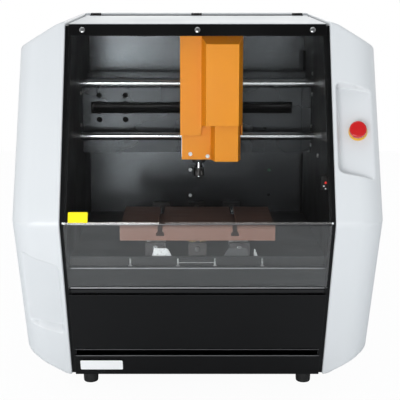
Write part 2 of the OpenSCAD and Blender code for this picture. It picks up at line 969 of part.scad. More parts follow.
// leaves under the rear cover, each with the two outer barrels of its hinge
module hinge_fixed_leaves() {
    inner = barrel_w / 2 + barrel_play;
    outer = leaf_w / 2 + 2;
    color([0.12, 0.12, 0.12])
        for (x = hinge_xs)
            difference() {
                union() {
                    for (x0 = [x - outer, x + inner]) {
                        barrel(x0, x0 + outer - inner);
                        across_x(x0, x0 + outer - inner)
                            leaf_outline(1);
                    }
                    across_x(x - outer, x + outer)
                        intersection() {
                            leaf_outline(1);
                            rect([hinge_y + barrel_d / 2 + leaf_gap, 0], [back_y, machine_h]);
                        }
                }
                barrel_bore(x, hinge_pin_d);
            }
}

module hinge_pins() {
    color([0.75, 0.75, 0.76])
        for (x = hinge_xs)
            rod_x(hinge_pin_d, x - leaf_w / 2 - 3, x + leaf_w / 2 + 3, hinge_y, hinge_z);
}

module drawer() {
    front_in = frame_off - panel_gap;
    box_back = front_y(drawer_box_z, front_in) + drawer_box_d;
    box_top = drawer_box_z + drawer_box_h;
    color([0.1, 0.1, 0.1])
        difference() {
            union() {
                across_x(-lid_x, lid_x)
                    skin(skin_off, front_in, [nose_y, drawer_z], [0, drawer_z + drawer_h]);
                across_x(-drawer_x, drawer_x)
                    intersection() {
                        side_outline(front_in);
                        rect([nose_y, drawer_box_z], [box_back, box_top]);
                    }
            }
            across_x(-drawer_x + drawer_wall, drawer_x - drawer_wall)
                intersection() {
                    side_outline(front_in);
                    rect([nose_y, drawer_box_z + drawer_wall], [box_back - drawer_wall, box_top + over]);
                }
        }
}

// angle runners on the side plates, under the drawer's edges
module drawer_runners() {
    top = drawer_box_z - runner_gap;
    y0 = front_y(drawer_box_z, frame_off) + runner_end_gap;
    y1 = rear_wall_y - runner_back_gap;
    color([0.6, 0.6, 0.62])
        both_sides() {
            span([drawer_x - runner_end_gap, y0, top - runner_t], [chamber_x, y1, top]);
            span([chamber_x - runner_t, y0, top - runner_t], [chamber_x, y1, top + runner_h]);
        }
}

// beam plate with a long slot for the nut bracket and two columns of round holes
module x_beam() {
    cut_y0 = beam_y - over;
    cut_y1 = beam_back_y + over;
    slot_end_xs = [slot_x0 + slot_h / 2, slot_x1 - slot_h / 2];
    color([0.16, 0.17, 0.2])
        difference() {
            span([-chamber_x, beam_y, rise(beam_low)], [chamber_x, beam_back_y, rise(beam_high)]);
            translate([0, 0, slot_z])
                span([slot_end_xs[0], cut_y0, -slot_h / 2], [slot_end_xs[1], cut_y1, slot_h / 2]);
            for (x = slot_end_xs)
                rod_y(slot_h, cut_y0, cut_y1, x, slot_z);
            for (x = beam_hole_xs, i = [-1.5:1:1.5])
                rod_y(beam_hole_d, cut_y0, cut_y1, x, slot_z + i * beam_hole_pitch);
        }
}

module x_rods() {
    end = chamber_x + x_rod_stand_out;
    color([0.85, 0.86, 0.87])
        for (z = x_rod_zs)
            rod_x(x_rod_d, -end, end, x_rod_y, z);
}

// clamping collars on the rods' ends, outside the side plates
module x_rod_collars() {
    x0 = chamber_x + side_sheet;
    color([0.4, 0.4, 0.42])
        both_sides()
            for (z = x_rod_zs)
                difference() {
                    rod_x(x_collar_d, x0, x0 + x_collar_l, x_rod_y, z);
                    rod_x(x_rod_d, x0 - over, x0 + x_collar_l + x_rod_stand_out, x_rod_y, z);
                }
}

// square motor of length l with chamfered edges, waisted corners and a socket for its stub
module stepper(l) {
    half = motor_w / 2;
    difference() {
        linear_extrude(l)
            offset(delta = motor_chamfer, chamfer = true)
                square(motor_w - 2 * motor_chamfer, center = true);
        for (sx = [-1, 1], sy = [-1, 1])
            translate([sx * half, sy * half, l * 0.12])
                cube([2 * motor_corner, 2 * motor_corner, l * 0.55], center = true);
        translate([0, 0, l - motor_socket])
            cylinder(h = motor_socket + over, d = stub_d + 2 * stub_play);
    }
}

module x_motor() {
    color([0.12, 0.12, 0.13])
        translate([x_motor_x + motor_l, x_screw_y, slot_z])
            rotate([0, -90, 0])
                stepper(motor_l);
}

// plate between the right side plate and the X motor, inside the cowl
module x_motor_bracket() {
    half = motor_w / 2 + bracket_t;
    x0 = chamber_x + side_sheet;
    color([0.55, 0.56, 0.58])
        difference() {
            span([x0, x_screw_y - half, slot_z - half], [x_motor_x, x_screw_y + half, slot_z + half]);
            rod_x(pilot_d, x0 - over, x_motor_x + over, x_screw_y, slot_z);
        }
}

// one block behind the beam's left end, two on the floor for the Y screw
module screw_bearings() {
    x0 = slot_x0 - bearing_t - 2;
    x_bore = x_screw_d + 2 * run_clear;
    y_bore = y_screw_d + 2 * run_clear;
    color([0.55, 0.56, 0.58]) {
        difference() {
            span([x0, beam_back_y, slot_z - bearing_half],
                [x0 + bearing_t, x_screw_y + bearing_half - 3, slot_z + bearing_half]);
            rod_x(x_bore, x0 - over, x0 + bearing_t + over, x_screw_y, slot_z);
        }
        for (y = y_support_ys)
            difference() {
                span([-bearing_half, y, floor_z], [bearing_half, y + bearing_t, y_rod_z + bearing_cap]);
                rod_y(y_bore, y - over, y + bearing_t + over, 0, y_rod_z);
            }
    }
}

// lead screw with its clamped coupling and the stub that enters the motor
module x_screw() {
    coupler_x1 = x_motor_x - coupler_gap;
    coupler_x0 = coupler_x1 - coupler_l;
    color([0.7, 0.7, 0.72]) {
        rod_x(x_screw_d, x_screw_x0, coupler_x0, x_screw_y, slot_z);
        rod_x(coupler_d, coupler_x0, coupler_x1, x_screw_y, slot_z);
        rod_x(stub_d, coupler_x1, x_motor_x + stub_l, x_screw_y, slot_z);
    }
}

// upright plate behind the head with the shelf that carries the Z motor
module x_carriage() {
    plate_back = carriage_y + carriage_t;
    right = head_x1 - sheet;
    color([0.7, 0.71, 0.72]) {
        span([head_x0 + sheet, carriage_y, rod_block_z], [right, plate_back, shelf_z]);
        difference() {
            span([z_drive_x - shelf_side, z_rod_y - shelf_front, shelf_z],
                [right, plate_back, shelf_z + shelf_t]);
            rod_z(pilot_d, shelf_z - over, shelf_z + shelf_t + over, z_drive_x, z_rod_y);
        }
    }
}

// four rod bearings behind the carriage's plate
module x_bearings() {
    y0 = x_rod_y - x_block[1] / 2;
    reach = x_block_dx + x_block[0];
    color([0.62, 0.63, 0.65])
        for (s = [-1, 1], z = x_rod_zs)
            difference() {
                translate([carriage_x + s * x_block_dx - x_block[0] / 2, y0, z - x_block[2] / 2])
                    cube(x_block);
                rod_x(x_rod_d + 2 * run_clear, carriage_x - reach, carriage_x + reach, x_rod_y, z);
            }
}

// bracket through the beam's slot, with the nut on the screw behind the beam
module x_nut_bracket() {
    arm = nut_arm / 2;
    half = nut_block_half;
    color([0.5, 0.5, 0.52])
        translate([carriage_x, 0, slot_z])
            difference() {
                union() {
                    span([-arm[0], carriage_y + carriage_t, -arm[1]], [arm[0], x_screw_y, arm[1]]);
                    translate([0, x_screw_y, 0])
                        cube([nut_block_w, 2 * half, 2 * half], center = true);
                }
                rod_x(x_screw_d + 2 * nut_clear, -nut_arm[0], nut_arm[0], x_screw_y, 0);
            }
}

module z_rods() {
    color([0.85, 0.86, 0.87])
        for (x = z_rod_xs)
            rod_z(z_rod_d, rod_block_z, shelf_z, x, z_rod_y);
}

// lower rod block, which also carries the screw's end
module z_rod_block() {
    z1 = rod_block_z + rod_block_h;
    color([0.62, 0.63, 0.65])
        difference() {
            span([z_drive_x - rod_block_half, z_rod_y - z_block[1] / 2, rod_block_z],
                [z_drive_x + rod_block_half, carriage_y, z1]);
            for (x = z_rod_xs)
                rod_z(z_rod_d, rod_block_z - over, z1 + over, x, z_rod_y);
            rod_z(z_screw_d + 2 * run_clear, rod_block_z - over, z1 + over, z_drive_x, z_rod_y);
        }
}

module z_motor() {
    color([0.12, 0.12, 0.13])
        translate([z_drive_x, z_rod_y, shelf_z + shelf_t + motor_w])
            rotate([180, 0, 0])
                stepper(motor_w);
}

// lead screw, its coupling inside the shelf's hole and the stub that enters the motor
module z_screw() {
    coupler_z1 = shelf_z + shelf_t - 2;
    coupler_z0 = coupler_z1 - z_coupler_l;
    color([0.7, 0.7, 0.72]) {
        rod_z(z_screw_d, rod_block_z - 3, coupler_z0, z_drive_x, z_rod_y);
        rod_z(z_coupler_d, coupler_z0, coupler_z1, z_drive_x, z_rod_y);
        rod_z(stub_d, coupler_z1, shelf_z + shelf_t + stub_l, z_drive_x, z_rod_y);
    }
}

// solid form of a head cover: a flat left panel and a raised box with bevelled edges,
// moved inwards by off; open to the back and below when it is used as a cavity
module head_form(x, flat_y, raised_y, z0, z1, bevel_z, off) {
    rear = head_rear_y + 2 * off;
    bottom = z0 - 2 * off - over;
    intersection() {
        translate([0, 0, z0])
            linear_extrude(z1 - z0 - off)
                offset(delta = -off)
                    polygon([
                        [x[0], rear],
                        [x[0], flat_y],
                        [x[1], flat_y],
                        [x[2], raised_y],
                        [x[3], raised_y],
                        [x[4], flat_y],
                        [x[4], rear]
                    ]);
        across_x(x[0] - over, x[4] + over)
            offset(delta = -off)
                polygon([
                    [raised_y, bottom],
                    [raised_y, z1 - bevel_z],
                    [flat_y, z1],
                    [rear + over, z1],
                    [rear + over, bottom]
                ]);
    }
}

// fixed cover; its lower edge steps up under the raised box with a curved notch
module head_cover_upper() {
    step_x = head_x0 + head_step;
    notch_z = head_z + notch_h;
    notch_x = step_x + notch_r;
    below = head_z - 5;
    outline = [head_x0, step_x, step_x + head_bevel_x, head_x1 - head_bevel_x, head_x1];
    color([0.9, 0.57, 0.1])
        difference() {
            head_form(outline, head_flat_y, head_raised_y, head_z, head_top_z, head_bevel_z, 0);
            translate([0, 0, -sheet])
                head_form(outline, head_flat_y, head_raised_y, below, head_top_z + sheet,
                    head_bevel_z, sheet);
            along_y(head_raised_y - over, head_flat_y + sheet + over) {
                rect([notch_x, below], [head_x1 + over, notch_z]);
                rect([step_x, below], [notch_x + over, notch_z - notch_r]);
                translate([notch_x, notch_z - notch_r])
                    circle(r = notch_r);
            }
        }
}

// sliding cover inside the upper one, with a bottom plate notched round the spindle
module head_cover_lower() {
    x0 = head_x0 + sheet + cover_gap;
    x1 = head_x1 - sheet - cover_gap;
    below = head_lower_z - 10;
    above = head_lower_top_z + 10;
    step_x = head_x0 + lower_step;
    outline = [x0, step_x, step_x + lower_bevel_x, x1 - lower_bevel_end, x1];
    color([0.9, 0.57, 0.1])
        difference() {
            head_form(outline, lower_flat_y, lower_raised_y, head_lower_z, head_lower_top_z, 0, 0);
            difference() {
                head_form(outline, lower_flat_y, lower_raised_y, below, above, 0, sheet);
                span([x0, lower_raised_y, head_lower_z], [x1, z_rod_y - 18, head_lower_z + sheet]);
            }
            rod_z(spindle_nose_d + 4, head_lower_z - over, head_lower_z + sheet + over,
                spindle_x, spindle_y);
        }
}

// plate that carries the spindle; its right part rides on the Z bearings
module z_slide_plate() {
    inset = 2 * sheet + cover_gap;
    x0 = head_x0 + inset;
    split = z_rod_xs[0] - z_block[0] / 2 - 2 * z_block_dx;
    color([0.66, 0.67, 0.69]) {
        span([x0, slide_y, slide_z0], [head_x1 - inset, slide_y + slide_t, slide_z1]);
        span([x0, slide_y, slide_foot_z], [split, slide_y + slide_t, slide_z1]);
    }
}

module z_bearings() {
    color([0.62, 0.63, 0.65])
        for (x = z_rod_xs, z = z_bearing_zs)
            difference() {
                translate([x - z_block[0] / 2 + (x < z_drive_x ? -z_block_dx : z_block_dx),
                    z_rod_y - z_block[1] / 2, z])
                    cube(z_block);
                rod_z(z_rod_d + 2 * run_clear, z - over, z + z_block[2] + over, x, z_rod_y);
            }
}

module z_nut() {
    z0 = (slide_z0 + slide_z1 - z_nut_size[2]) / 2;
    z1 = z0 + z_nut_size[2];
    color([0.75, 0.6, 0.25])
        difference() {
            span([z_drive_x - z_nut_size[0] / 2, z_rod_y - z_nut_size[1], z0],
                [z_drive_x + z_nut_size[0] / 2, slide_y, z1]);
            rod_z(z_screw_d + 2 * nut_clear, z0 - over, z1 + over, z_drive_x, z_rod_y);
        }
}

// motor body with a saddle on the slide plate and a stepped nose
module spindle_housing() {
    body_z = head_lower_z + 5;
    color([0.25, 0.25, 0.27])
        difference() {
            union() {
                rod_z(spindle_d, body_z, spindle_top_z, spindle_x, spindle_y);
                rod_z(spindle_nose_d, spindle_nose_z, body_z + over, spindle_x, spindle_y);
                span([spindle_x - saddle_w / 2, spindle_y, slide_z0],
                    [spindle_x + saddle_w / 2, slide_y, spindle_top_z - 6]);
            }
            rod_z(spindle_shaft_d + 2 * run_clear, spindle_nose_z - over, spindle_top_z - 8,
                spindle_x, spindle_y);
        }
}

module spindle_shaft() {
    color([0.8, 0.8, 0.82])
        difference() {
            rod_z(spindle_shaft_d, nut_z + 10, spindle_top_z - 10, spindle_x, spindle_y);
            rod_z(collet_d, nut_z, nut_z - collet_proud + collet_l, spindle_x, spindle_y);
        }
}

// clamping nut with six spanner grooves
module collet_nut() {
    neck = 10;
    color([0.1, 0.1, 0.11])
        translate([spindle_x, spindle_y, nut_z])
            difference() {
                cylinder(h = collet_nut_h, d = collet_nut_d);
                translate([0, 0, -over])
                    cylinder(h = neck + 2 * over, d = collet_d);
                translate([0, 0, neck])
                    cylinder(h = collet_nut_h, d = spindle_shaft_d);
                for (a = [0:60:300])
                    rotate([0, 0, a])
                        translate([collet_nut_d / 2 + 0.6, 0, -over])
                            cylinder(h = neck + 2 * over, d = spanner_groove_d);
            }
}

// collet with four slits from its clamping end
module collet() {
    color([0.78, 0.78, 0.8])
        translate([spindle_x, spindle_y, nut_z - collet_proud])
            difference() {
                cylinder(h = collet_l, d = collet_d);
                translate([0, 0, -over])
                    cylinder(h = collet_l + 2 * over, d = collet_bore);
                for (a = [45:90:315])
                    rotate([0, 0, a])
                        translate([0, -collet_slit / 2, -over])
                            cube([collet_d, collet_slit, collet_l - collet_d / 2]);
            }
}

// front supports and rear supports of the Y rods
module y_rod_supports() {
    half = y_support[0] / 2;
    color([0.15, 0.15, 0.16])
        for (x = y_rod_xs, y = y_support_ys)
            difference() {
                span([x - half, y, floor_z], [x + half, y + y_support[1], floor_z + y_support[2]]);
                rod_y(y_rod_d, y - over, y + y_support[1] + over, x, y_rod_z);
            }
}

module y_rods() {
    color([0.85, 0.86, 0.87])
        for (x = y_rod_xs)
            rod_y(y_rod_d, y_support_ys[0], rear_wall_y, x, y_rod_z);
}

// motor behind the lower rear wall
module y_motor() {
    color([0.12, 0.12, 0.13])
        translate([0, rear_wall_y + sheet + y_motor_l, y_rod_z])
            rotate([90, 0, 0])
                stepper(y_motor_l);
}

module y_screw() {
    color([0.7, 0.7, 0.72]) {
        rod_y(y_screw_d, y_support_ys[0] - 3, rear_wall_y, 0, y_rod_z);
        rod_y(stub_d, rear_wall_y - over, rear_wall_y + sheet + stub_l, 0, y_rod_z);
    }
}

// four rod bearings under the saddle
module y_bearings() {
    color([0.62, 0.63, 0.65])
        for (x = y_rod_xs, y = [saddle_y, saddle_y + saddle_l - y_block[1]])
            difference() {
                translate([x - y_block[0] / 2, y, y_block_z])
                    cube(y_block);
                rod_y(y_rod_d + 2 * run_clear, y - over, y + y_block[1] + over, x, y_rod_z);
            }
}

module y_saddle() {
    half = (y_rod_span + y_block[0]) / 2 + saddle_edge;
    color([0.7, 0.71, 0.72])
        span([-half, saddle_y, saddle_z], [half, saddle_y + saddle_l, saddle_z + saddle_t]);
}

module y_nut() {
    half = y_nut_size / 2;
    mid = saddle_y + saddle_l / 2;
    color([0.75, 0.6, 0.25])
        difference() {
            span([-half[0], mid - half[1], y_block_z], [half[0], mid + half[1], saddle_z]);
            rod_y(y_screw_d + 2 * nut_clear, mid - half[1] - over, mid + half[1] + over, 0, y_rod_z);
        }
}

// brown laminate table with two T-slots open at both ends
module work_table() {
    top = table_z + table_t;
    neck_z = top - tslot_neck_h;
    color([0.3, 0.19, 0.15])
        along_y(table_y, table_y + table_l)
            difference() {
                rect([-table_w / 2, table_z], [table_w / 2, top]);
                for (x = [-tslot_span / 2, tslot_span / 2]) {
                    rect([x - tslot_neck / 2, neck_z - over], [x + tslot_neck / 2, top + over]);
                    rect([x - tslot_head / 2, neck_z - tslot_head_h], [x + tslot_head / 2, neck_z]);
                }
            }
}

// inlet with a recess for the mains connector and an opening for the rocker
module power_inlet() {
    flange = inlet_flange / 2;
    body = inlet_body / 2;
    socket = socket_size / 2;
    hole = rocker_hole / 2;
    cut_y = inlet_flange[1] + over;
    color([0.08, 0.08, 0.08])
        translate([inlet_x, inlet_y, inlet_z])
            difference() {
                union() {
                    span([-flange[0], 0, -flange[2]], [flange[0], inlet_flange[1], flange[2]]);
                    span([-body[0], -inlet_body[1], -body[2]], [body[0], over, body[2]]);
                }
                translate([0, 0, -socket_dz])
                    span([-socket[0], -socket_size[1], -socket[2]], [socket[0], cut_y, socket[2]]);
                translate([0, 0, rocker_dz])
                    span([-hole[0], -rocker_hole[1], -hole[2]], [hole[0], cut_y, hole[2]]);
                rod_x(rocker_pin_d, -rocker_pin_l / 2 - 0.2, rocker_pin_l / 2 + 0.2, -rocker_dy, rocker_dz);
            }
}

// rocker on its own pin, with a shallow V of a face
module power_rocker() {
    half = 8.2;
    face = 4.6;
    pin_d = rocker_pin_d - 2 * run_clear;
    color([0.14, 0.14, 0.14])
        translate([inlet_x, inlet_y - rocker_dy, inlet_z + rocker_dz]) {
            across_x(-rocker_w / 2, rocker_w / 2)
                polygon([
                    [-rocker_dy, -half * 0.6],
                    [face, -half],
                    [face - 0.4, 0],
                    [face, half],
                    [-rocker_dy, half * 0.6]
                ]);
            rod_x(pin_d, -rocker_pin_l / 2, rocker_pin_l / 2, 0, 0);
        }
}

// sheet case of the power supply with a field of vent slots in its back
module power_supply() {
    wall = sheet;
    slot_y = psu_size[1] - 10;
    slot_end = (psu_size[2] - psu_slot[1]) / 2;
    slot_x = (psu_size[0] - (psu_slots - 1) * psu_slot_pitch - psu_slot[0]) / 2;
    color([0.7, 0.71, 0.72])
        translate([psu_x, rear_wall_y + sheet, psu_z])
            difference() {
                cube(psu_size);
                translate([wall, wall, wall])
                    cube([psu_size[0] - 2 * wall, psu_size[1] - 1.5 * wall, psu_size[2] - 2 * wall]);
                for (i = [0:psu_slots - 1])
                    translate([slot_x + i * psu_slot_pitch, slot_y, slot_end])
                        cube([psu_slot[0], 20, psu_slot[1]]);
            }
}

// board on four posts with its four motor drivers
module control_board() {
    far = [board_size[0] - board_post_inset, board_size[2] - board_post_inset];
    color([0.1, 0.35, 0.2])
        translate([board_x, rear_wall_y + sheet, board_z]) {
            translate([0, board_post_l, 0])
                cube(board_size);
            for (x = [board_post_inset, far[0]], z = [board_post_inset, far[1]])
                rod_y(board_post_d, 0, board_post_l + 0.5, x, z);
            for (i = [0:3])
                translate([14 + i * board_chip_pitch, board_post_l + 1, 40])
                    cube(board_chip);
        }
}

// switch that senses the closed hood, on the right wall behind the window
module door_switch() {
    y0 = front_y(switch_z + switch_size[2], frame_off) + 6;
    color([0.05, 0.05, 0.05])
        translate([chamber_x - switch_size[0], y0, switch_z])
            cube(switch_size);
}

base_pan();
feet();
side_plate_left();
side_plate_right();
floor_pan();
lower_front_panel();
lower_rear_wall();
upper_rear_wall();
back_cover();
top_rear_cover();
cowl_left();
cowl_right();
x_beam();
x_rods();
x_rod_collars();
x_motor_bracket();
x_motor();
screw_bearings();
x_screw();
y_rod_supports();
y_rods();
y_motor();
y_screw();
drawer();
drawer_runners();
power_inlet();
power_rocker();
power_supply();
control_board();
door_switch();
estop_collar();
estop_stem();
estop_cap();
hinge_fixed_leaves();
hinge_pins();
hinge_moving_leaves();
hood_lid();
hood_window();
hood_band();
hood_screws();
x_carriage();
x_bearings();
x_nut_bracket();
z_rods();
z_rod_block();
z_motor();
z_screw();
head_cover_upper();
head_cover_lower();
z_slide_plate();
z_bearings();
z_nut();
spindle_housing();
spindle_shaft();
collet_nut();
collet();
work_table();
y_saddle();
y_bearings();
y_nut();
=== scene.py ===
import bmesh
import bpy
import math
import numpy as np
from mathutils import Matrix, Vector


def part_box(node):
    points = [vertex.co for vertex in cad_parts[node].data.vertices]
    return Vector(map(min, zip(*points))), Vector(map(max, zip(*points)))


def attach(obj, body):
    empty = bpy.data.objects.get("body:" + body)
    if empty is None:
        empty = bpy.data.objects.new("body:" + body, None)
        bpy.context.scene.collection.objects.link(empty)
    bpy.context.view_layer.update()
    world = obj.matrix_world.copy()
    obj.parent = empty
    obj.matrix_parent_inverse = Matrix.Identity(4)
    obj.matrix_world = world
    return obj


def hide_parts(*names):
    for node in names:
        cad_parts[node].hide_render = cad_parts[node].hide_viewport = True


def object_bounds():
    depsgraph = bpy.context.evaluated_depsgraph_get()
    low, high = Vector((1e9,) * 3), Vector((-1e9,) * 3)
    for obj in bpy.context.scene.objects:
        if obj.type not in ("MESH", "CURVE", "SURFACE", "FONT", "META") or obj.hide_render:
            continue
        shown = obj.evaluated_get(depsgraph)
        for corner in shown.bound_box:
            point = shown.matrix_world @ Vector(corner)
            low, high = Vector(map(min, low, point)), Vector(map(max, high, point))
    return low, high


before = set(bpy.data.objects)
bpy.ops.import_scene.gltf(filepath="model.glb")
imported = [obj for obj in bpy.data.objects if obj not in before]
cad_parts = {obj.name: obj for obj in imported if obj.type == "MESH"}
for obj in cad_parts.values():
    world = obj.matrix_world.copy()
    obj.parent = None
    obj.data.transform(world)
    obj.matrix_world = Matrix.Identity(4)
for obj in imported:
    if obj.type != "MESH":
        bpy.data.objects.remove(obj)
cadBox = [list(v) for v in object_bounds()]
print("stage: frame loaded,", len(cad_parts), "nodes")


def addObject(name, data):
    made = bpy.data.objects.new(name, data)
    bpy.context.scene.collection.objects.link(made)
    return made


# shader trees
def setInputs(tree, node, inputs):
    # each input, by name or number, is linked to a socket or set to a value; colours are made opaque
    for key, value in inputs.items():
        target = node.inputs[key]
        if isinstance(value, bpy.types.NodeSocket):
            tree.links.new(value, target)
        else:
            target.default_value = (*value, 1) if target.type == "RGBA" else value


def addNode(tree, kind, inputs=None, operation=None):
    node = tree.nodes.new("ShaderNode" + kind)
    if operation:
        node.operation = operation
    setInputs(tree, node, inputs or {})
    return node


def between(tree, socket, low, high, start=0, stop=1):
    # low where the socket is at start, high where it is at stop, a straight line in between
    span = {"Value": socket, "From Min": start, "From Max": stop, "To Min": low, "To Max": high}
    return addNode(tree, "MapRange", span).outputs[0]


def maths(tree, operation, first, second):
    return addNode(tree, "Math", {0: first, 1: second}, operation).outputs[0]


def mixShaders(tree, factor, first, second):
    return addNode(tree, "MixShader", {0: factor, 1: first.outputs[0], 2: second.outputs[0]})


# camera and light
studio = {
    "eye": (-0.0126, -2.1575, 0.8739),
    "pitch": 9.84,  # degrees below the horizon
    "lens": 83.31,
    "shift": (0.021, -0.0983),
    "ambient": 0.68,
    "ambientColour": (0.93, 0.97, 1),
    "gloss": (0.04, 0.9),  # strength in front of the machine and behind it
    "glossTurn": (-0.25, 0.35),  # from here to here along Y the one becomes the other
    "floorHalf": 2.6,
    "floorFront": -1.25,
    "floorBack": 3.2,
    "floorColour": (0.86, 0.87, 0.88),
    "floorGlow": 0.96,  # share of its own white that the camera sees
}
lamps = {
    "keyLight": {"place": (-0.4, -0.6, 3), "target": (0, 0, 0.35), "size": (1.6, 1), "power": 7},
    "leftCard": {"place": (-0.62, -2.35, 0.42), "target": (-0.12, 0.2, 0.62), "size": (0.95, 0.9), "power": 20},
    "rightCard": {"place": (0.32, -2.35, 0.55), "target": (0.1, 0.2, 0.6), "size": (0.9, 0.75), "power": 4.4},
    "rightFill": {"place": (2.1, -1.2, 1.2), "target": (0, 0, 0.4), "size": (1.2, 1.6), "power": 2},
    "leftFill": {"place": (-2.1, -1, 1.2), "target": (0, 0, 0.4), "size": (1.2, 1.6), "power": 4},
    "backFill": {"place": (0.3, 2.3, 1.7), "target": (0, 0, 0.4), "size": (1.8, 1.2), "power": 8},
}


def makeCamera():
    data = bpy.data.cameras.new("camera")
    data.lens = studio["lens"]
    data.sensor_width = 36
    data.shift_x, data.shift_y = studio["shift"]
    data.clip_end = 50
    camera = addObject("camera", data)
    camera.location = studio["eye"]
    camera.rotation_euler = (math.radians(90 - studio["pitch"]), 0, 0)
    bpy.context.scene.camera = camera


def makeLamp(name, lamp):
    data = bpy.data.lights.new(name, "AREA")
    data.shape = "RECTANGLE"
    data.size, data.size_y = lamp["size"]
    data.energy = lamp["power"]
    light = addObject(name, data)
    light.location = lamp["place"]
    aim = Vector(lamp["target"]) - Vector(lamp["place"])
    light.rotation_euler = aim.to_track_quat("-Z", "Y").to_euler()


def makeWorld():
    # white for the camera, white behind the machine for gloss, dark in front of it, even grey for diffuse light
    world = bpy.data.worlds.new("studio")
    bpy.context.scene.world = world
    world.use_nodes = True
    tree = world.node_tree
    tree.nodes.clear()
    path = addNode(tree, "LightPath").outputs
    split = addNode(tree, "SeparateXYZ", {"Vector": addNode(tree, "TexCoord").outputs["Generated"]})
    behind = between(tree, split.outputs["Y"], *studio["gloss"], *studio["glossTurn"])
    even = addNode(tree, "Background", {"Color": studio["ambientColour"], "Strength": studio["ambient"]})
    gloss = addNode(tree, "Background", {"Color": (1, 1, 1), "Strength": behind})
    seen = addNode(tree, "Background", {"Color": (1, 1, 1), "Strength": 1})
    mirrored = maths(tree, "MAXIMUM", path["Is Glossy Ray"], path["Is Transmission Ray"])
    mix = mixShaders(tree, path["Is Camera Ray"], mixShaders(tree, mirrored, even, gloss), seen)
    addNode(tree, "OutputWorld", {"Surface": mix.outputs[0]})


def makeFloor():
    # white sweep: mostly its own white for the camera, and a real diffuse surface for everything else
    half, front, back = studio["floorHalf"], studio["floorFront"], studio["floorBack"]
    low = cadBox[0][2]
    mesh = bpy.data.meshes.new("floor")
    corners = [(-half, front, low), (half, front, low), (half, back, low), (-half, back, low)]
    mesh.from_pydata(corners, [], [(0, 1, 2, 3)])
    floor = addObject("floor", mesh)
    material = bpy.data.materials.new("floorWhite")
    material.use_nodes = True
    tree = material.node_tree
    tree.nodes.clear()
    path = addNode(tree, "LightPath").outputs
    matt = addNode(tree, "BsdfDiffuse", {"Color": studio["floorColour"]})
    own = addNode(tree, "Emission", {"Strength": 1})
    mix = mixShaders(tree, maths(tree, "MULTIPLY", path["Is Camera Ray"], studio["floorGlow"]), matt, own)
    addNode(tree, "OutputMaterial", {"Surface": mix.outputs[0]})
    mesh.materials.append(material)


makeCamera()
makeWorld()
makeFloor()
for lampName, lamp in lamps.items():
    makeLamp(lampName, lamp)
bpy.context.scene.view_settings.view_transform = "Standard"
print("stage: camera and light ready")


# shared effects
def newGroup(name, inputs, outputs):
    # empty node group: inputs are (name, kind, value), outputs are (name, kind); gives its inner ends too
    group = bpy.data.node_groups.new(name, "ShaderNodeTree")
    for label, kind, value in inputs:
        socket = group.interface.new_socket(label, in_out="INPUT", socket_type="NodeSocket" + kind)
        if value is not None:
            socket.default_value = value
    for label, kind in outputs:
        group.interface.new_socket(label, in_out="OUTPUT", socket_type="NodeSocket" + kind)
    return group, group.nodes.new("NodeGroupInput").outputs, group.nodes.new("NodeGroupOutput")


def makePeelGroup():
    # peel of sprayed or moulded paint: fine bumps for the height, slow clouds for the tone
    group, enter, leave = newGroup(
        "paintPeel",
        [("Vector", "Vector", None), ("Grain", "Float", 700)],
        [("Height", "Float"), ("Tone", "Float")],
    )
    fine = addNode(group, "TexNoise", {"Vector": enter["Vector"], "Scale": enter["Grain"], "Detail": 2})
    cloud = addNode(group, "TexNoise", {"Vector": enter["Vector"], "Scale": 9, "Detail": 3})
    setInputs(group, leave, {"Height": fine.outputs[0], "Tone": cloud.outputs[0]})
    return group


def makeEdgeGroup():
    # rounded normal near an edge, and a mask that grows where that normal leaves the flat one
    group, enter, leave = newGroup(
        "softEdge", [("Radius", "Float", 0.0008)], [("Normal", "Vector"), ("Mask", "Float")]
    )
    bevel = addNode(group, "Bevel", {"Radius": enter["Radius"]})
    bevel.samples = 6
    flat = addNode(group, "NewGeometry").outputs["True Normal"]
    dot = addNode(group, "VectorMath", {0: bevel.outputs[0], 1: flat}, "DOT_PRODUCT")
    mask = between(group, dot.outputs["Value"], 0, 1, 0.995, 0.85)
    setInputs(group, leave, {"Normal": bevel.outputs[0], "Mask": mask})
    return group


def makeStrokeGroup():
    # long fine strokes left by a cutter or a brush: noise on coordinates stretched along the Stretch axis
    group, enter, leave = newGroup(
        "toolStrokes",
        [("Vector", "Vector", None), ("Stretch", "Vector", (1, 1, 1))],
        [("Height", "Float"), ("Tone", "Float")],
    )
    scale = addNode(group, "VectorMath", {0: enter["Vector"], 1: enter["Stretch"]}, "MULTIPLY")
    fine = addNode(group, "TexNoise", {"Vector": scale.outputs[0], "Scale": 1, "Detail": 4}).outputs[0]
    setInputs(group, leave, {"Height": fine, "Tone": between(group, fine, 0, 1, 0.3, 0.7)})
    return group


def makeDustGroup():
    # thin dust that lies on faces turned upwards, broken up by noise
    group, enter, leave = newGroup(
        "restingDust", [("Vector", "Vector", None), ("Amount", "Float", 0.3)], [("Mask", "Float")]
    )
    split = addNode(group, "SeparateXYZ", {"Vector": addNode(group, "NewGeometry").outputs["Normal"]})
    noise = addNode(group, "TexNoise", {"Vector": enter["Vector"], "Scale": 38, "Detail": 6})
    up = between(group, split.outputs["Z"], 0, 1, 0.55)
    patch = between(group, noise.outputs[0], 0, 1, 0.42, 0.8)
    mask = maths(group, "MULTIPLY", maths(group, "MULTIPLY", up, patch), enter["Amount"])
    setInputs(group, leave, {"Mask": mask})
    return group


paintPeel = makePeelGroup()
softEdge = makeEdgeGroup()
toolStrokes = makeStrokeGroup()
restingDust = makeDustGroup()
print("stage: shared effects ready")


# finishes
def newMaterial(name):
    material = bpy.data.materials.new(name)
    material.use_nodes = True
    tree = material.node_tree
    return material, tree, tree.nodes["Principled BSDF"], addNode(tree, "TexCoord").outputs["Object"]


def place(tree, group, **inputs):
    # one use of a shared effect; gives its outputs
    node = tree.nodes.new("ShaderNodeGroup")
    node.node_tree = group
    setInputs(tree, node, inputs)
    return node.outputs


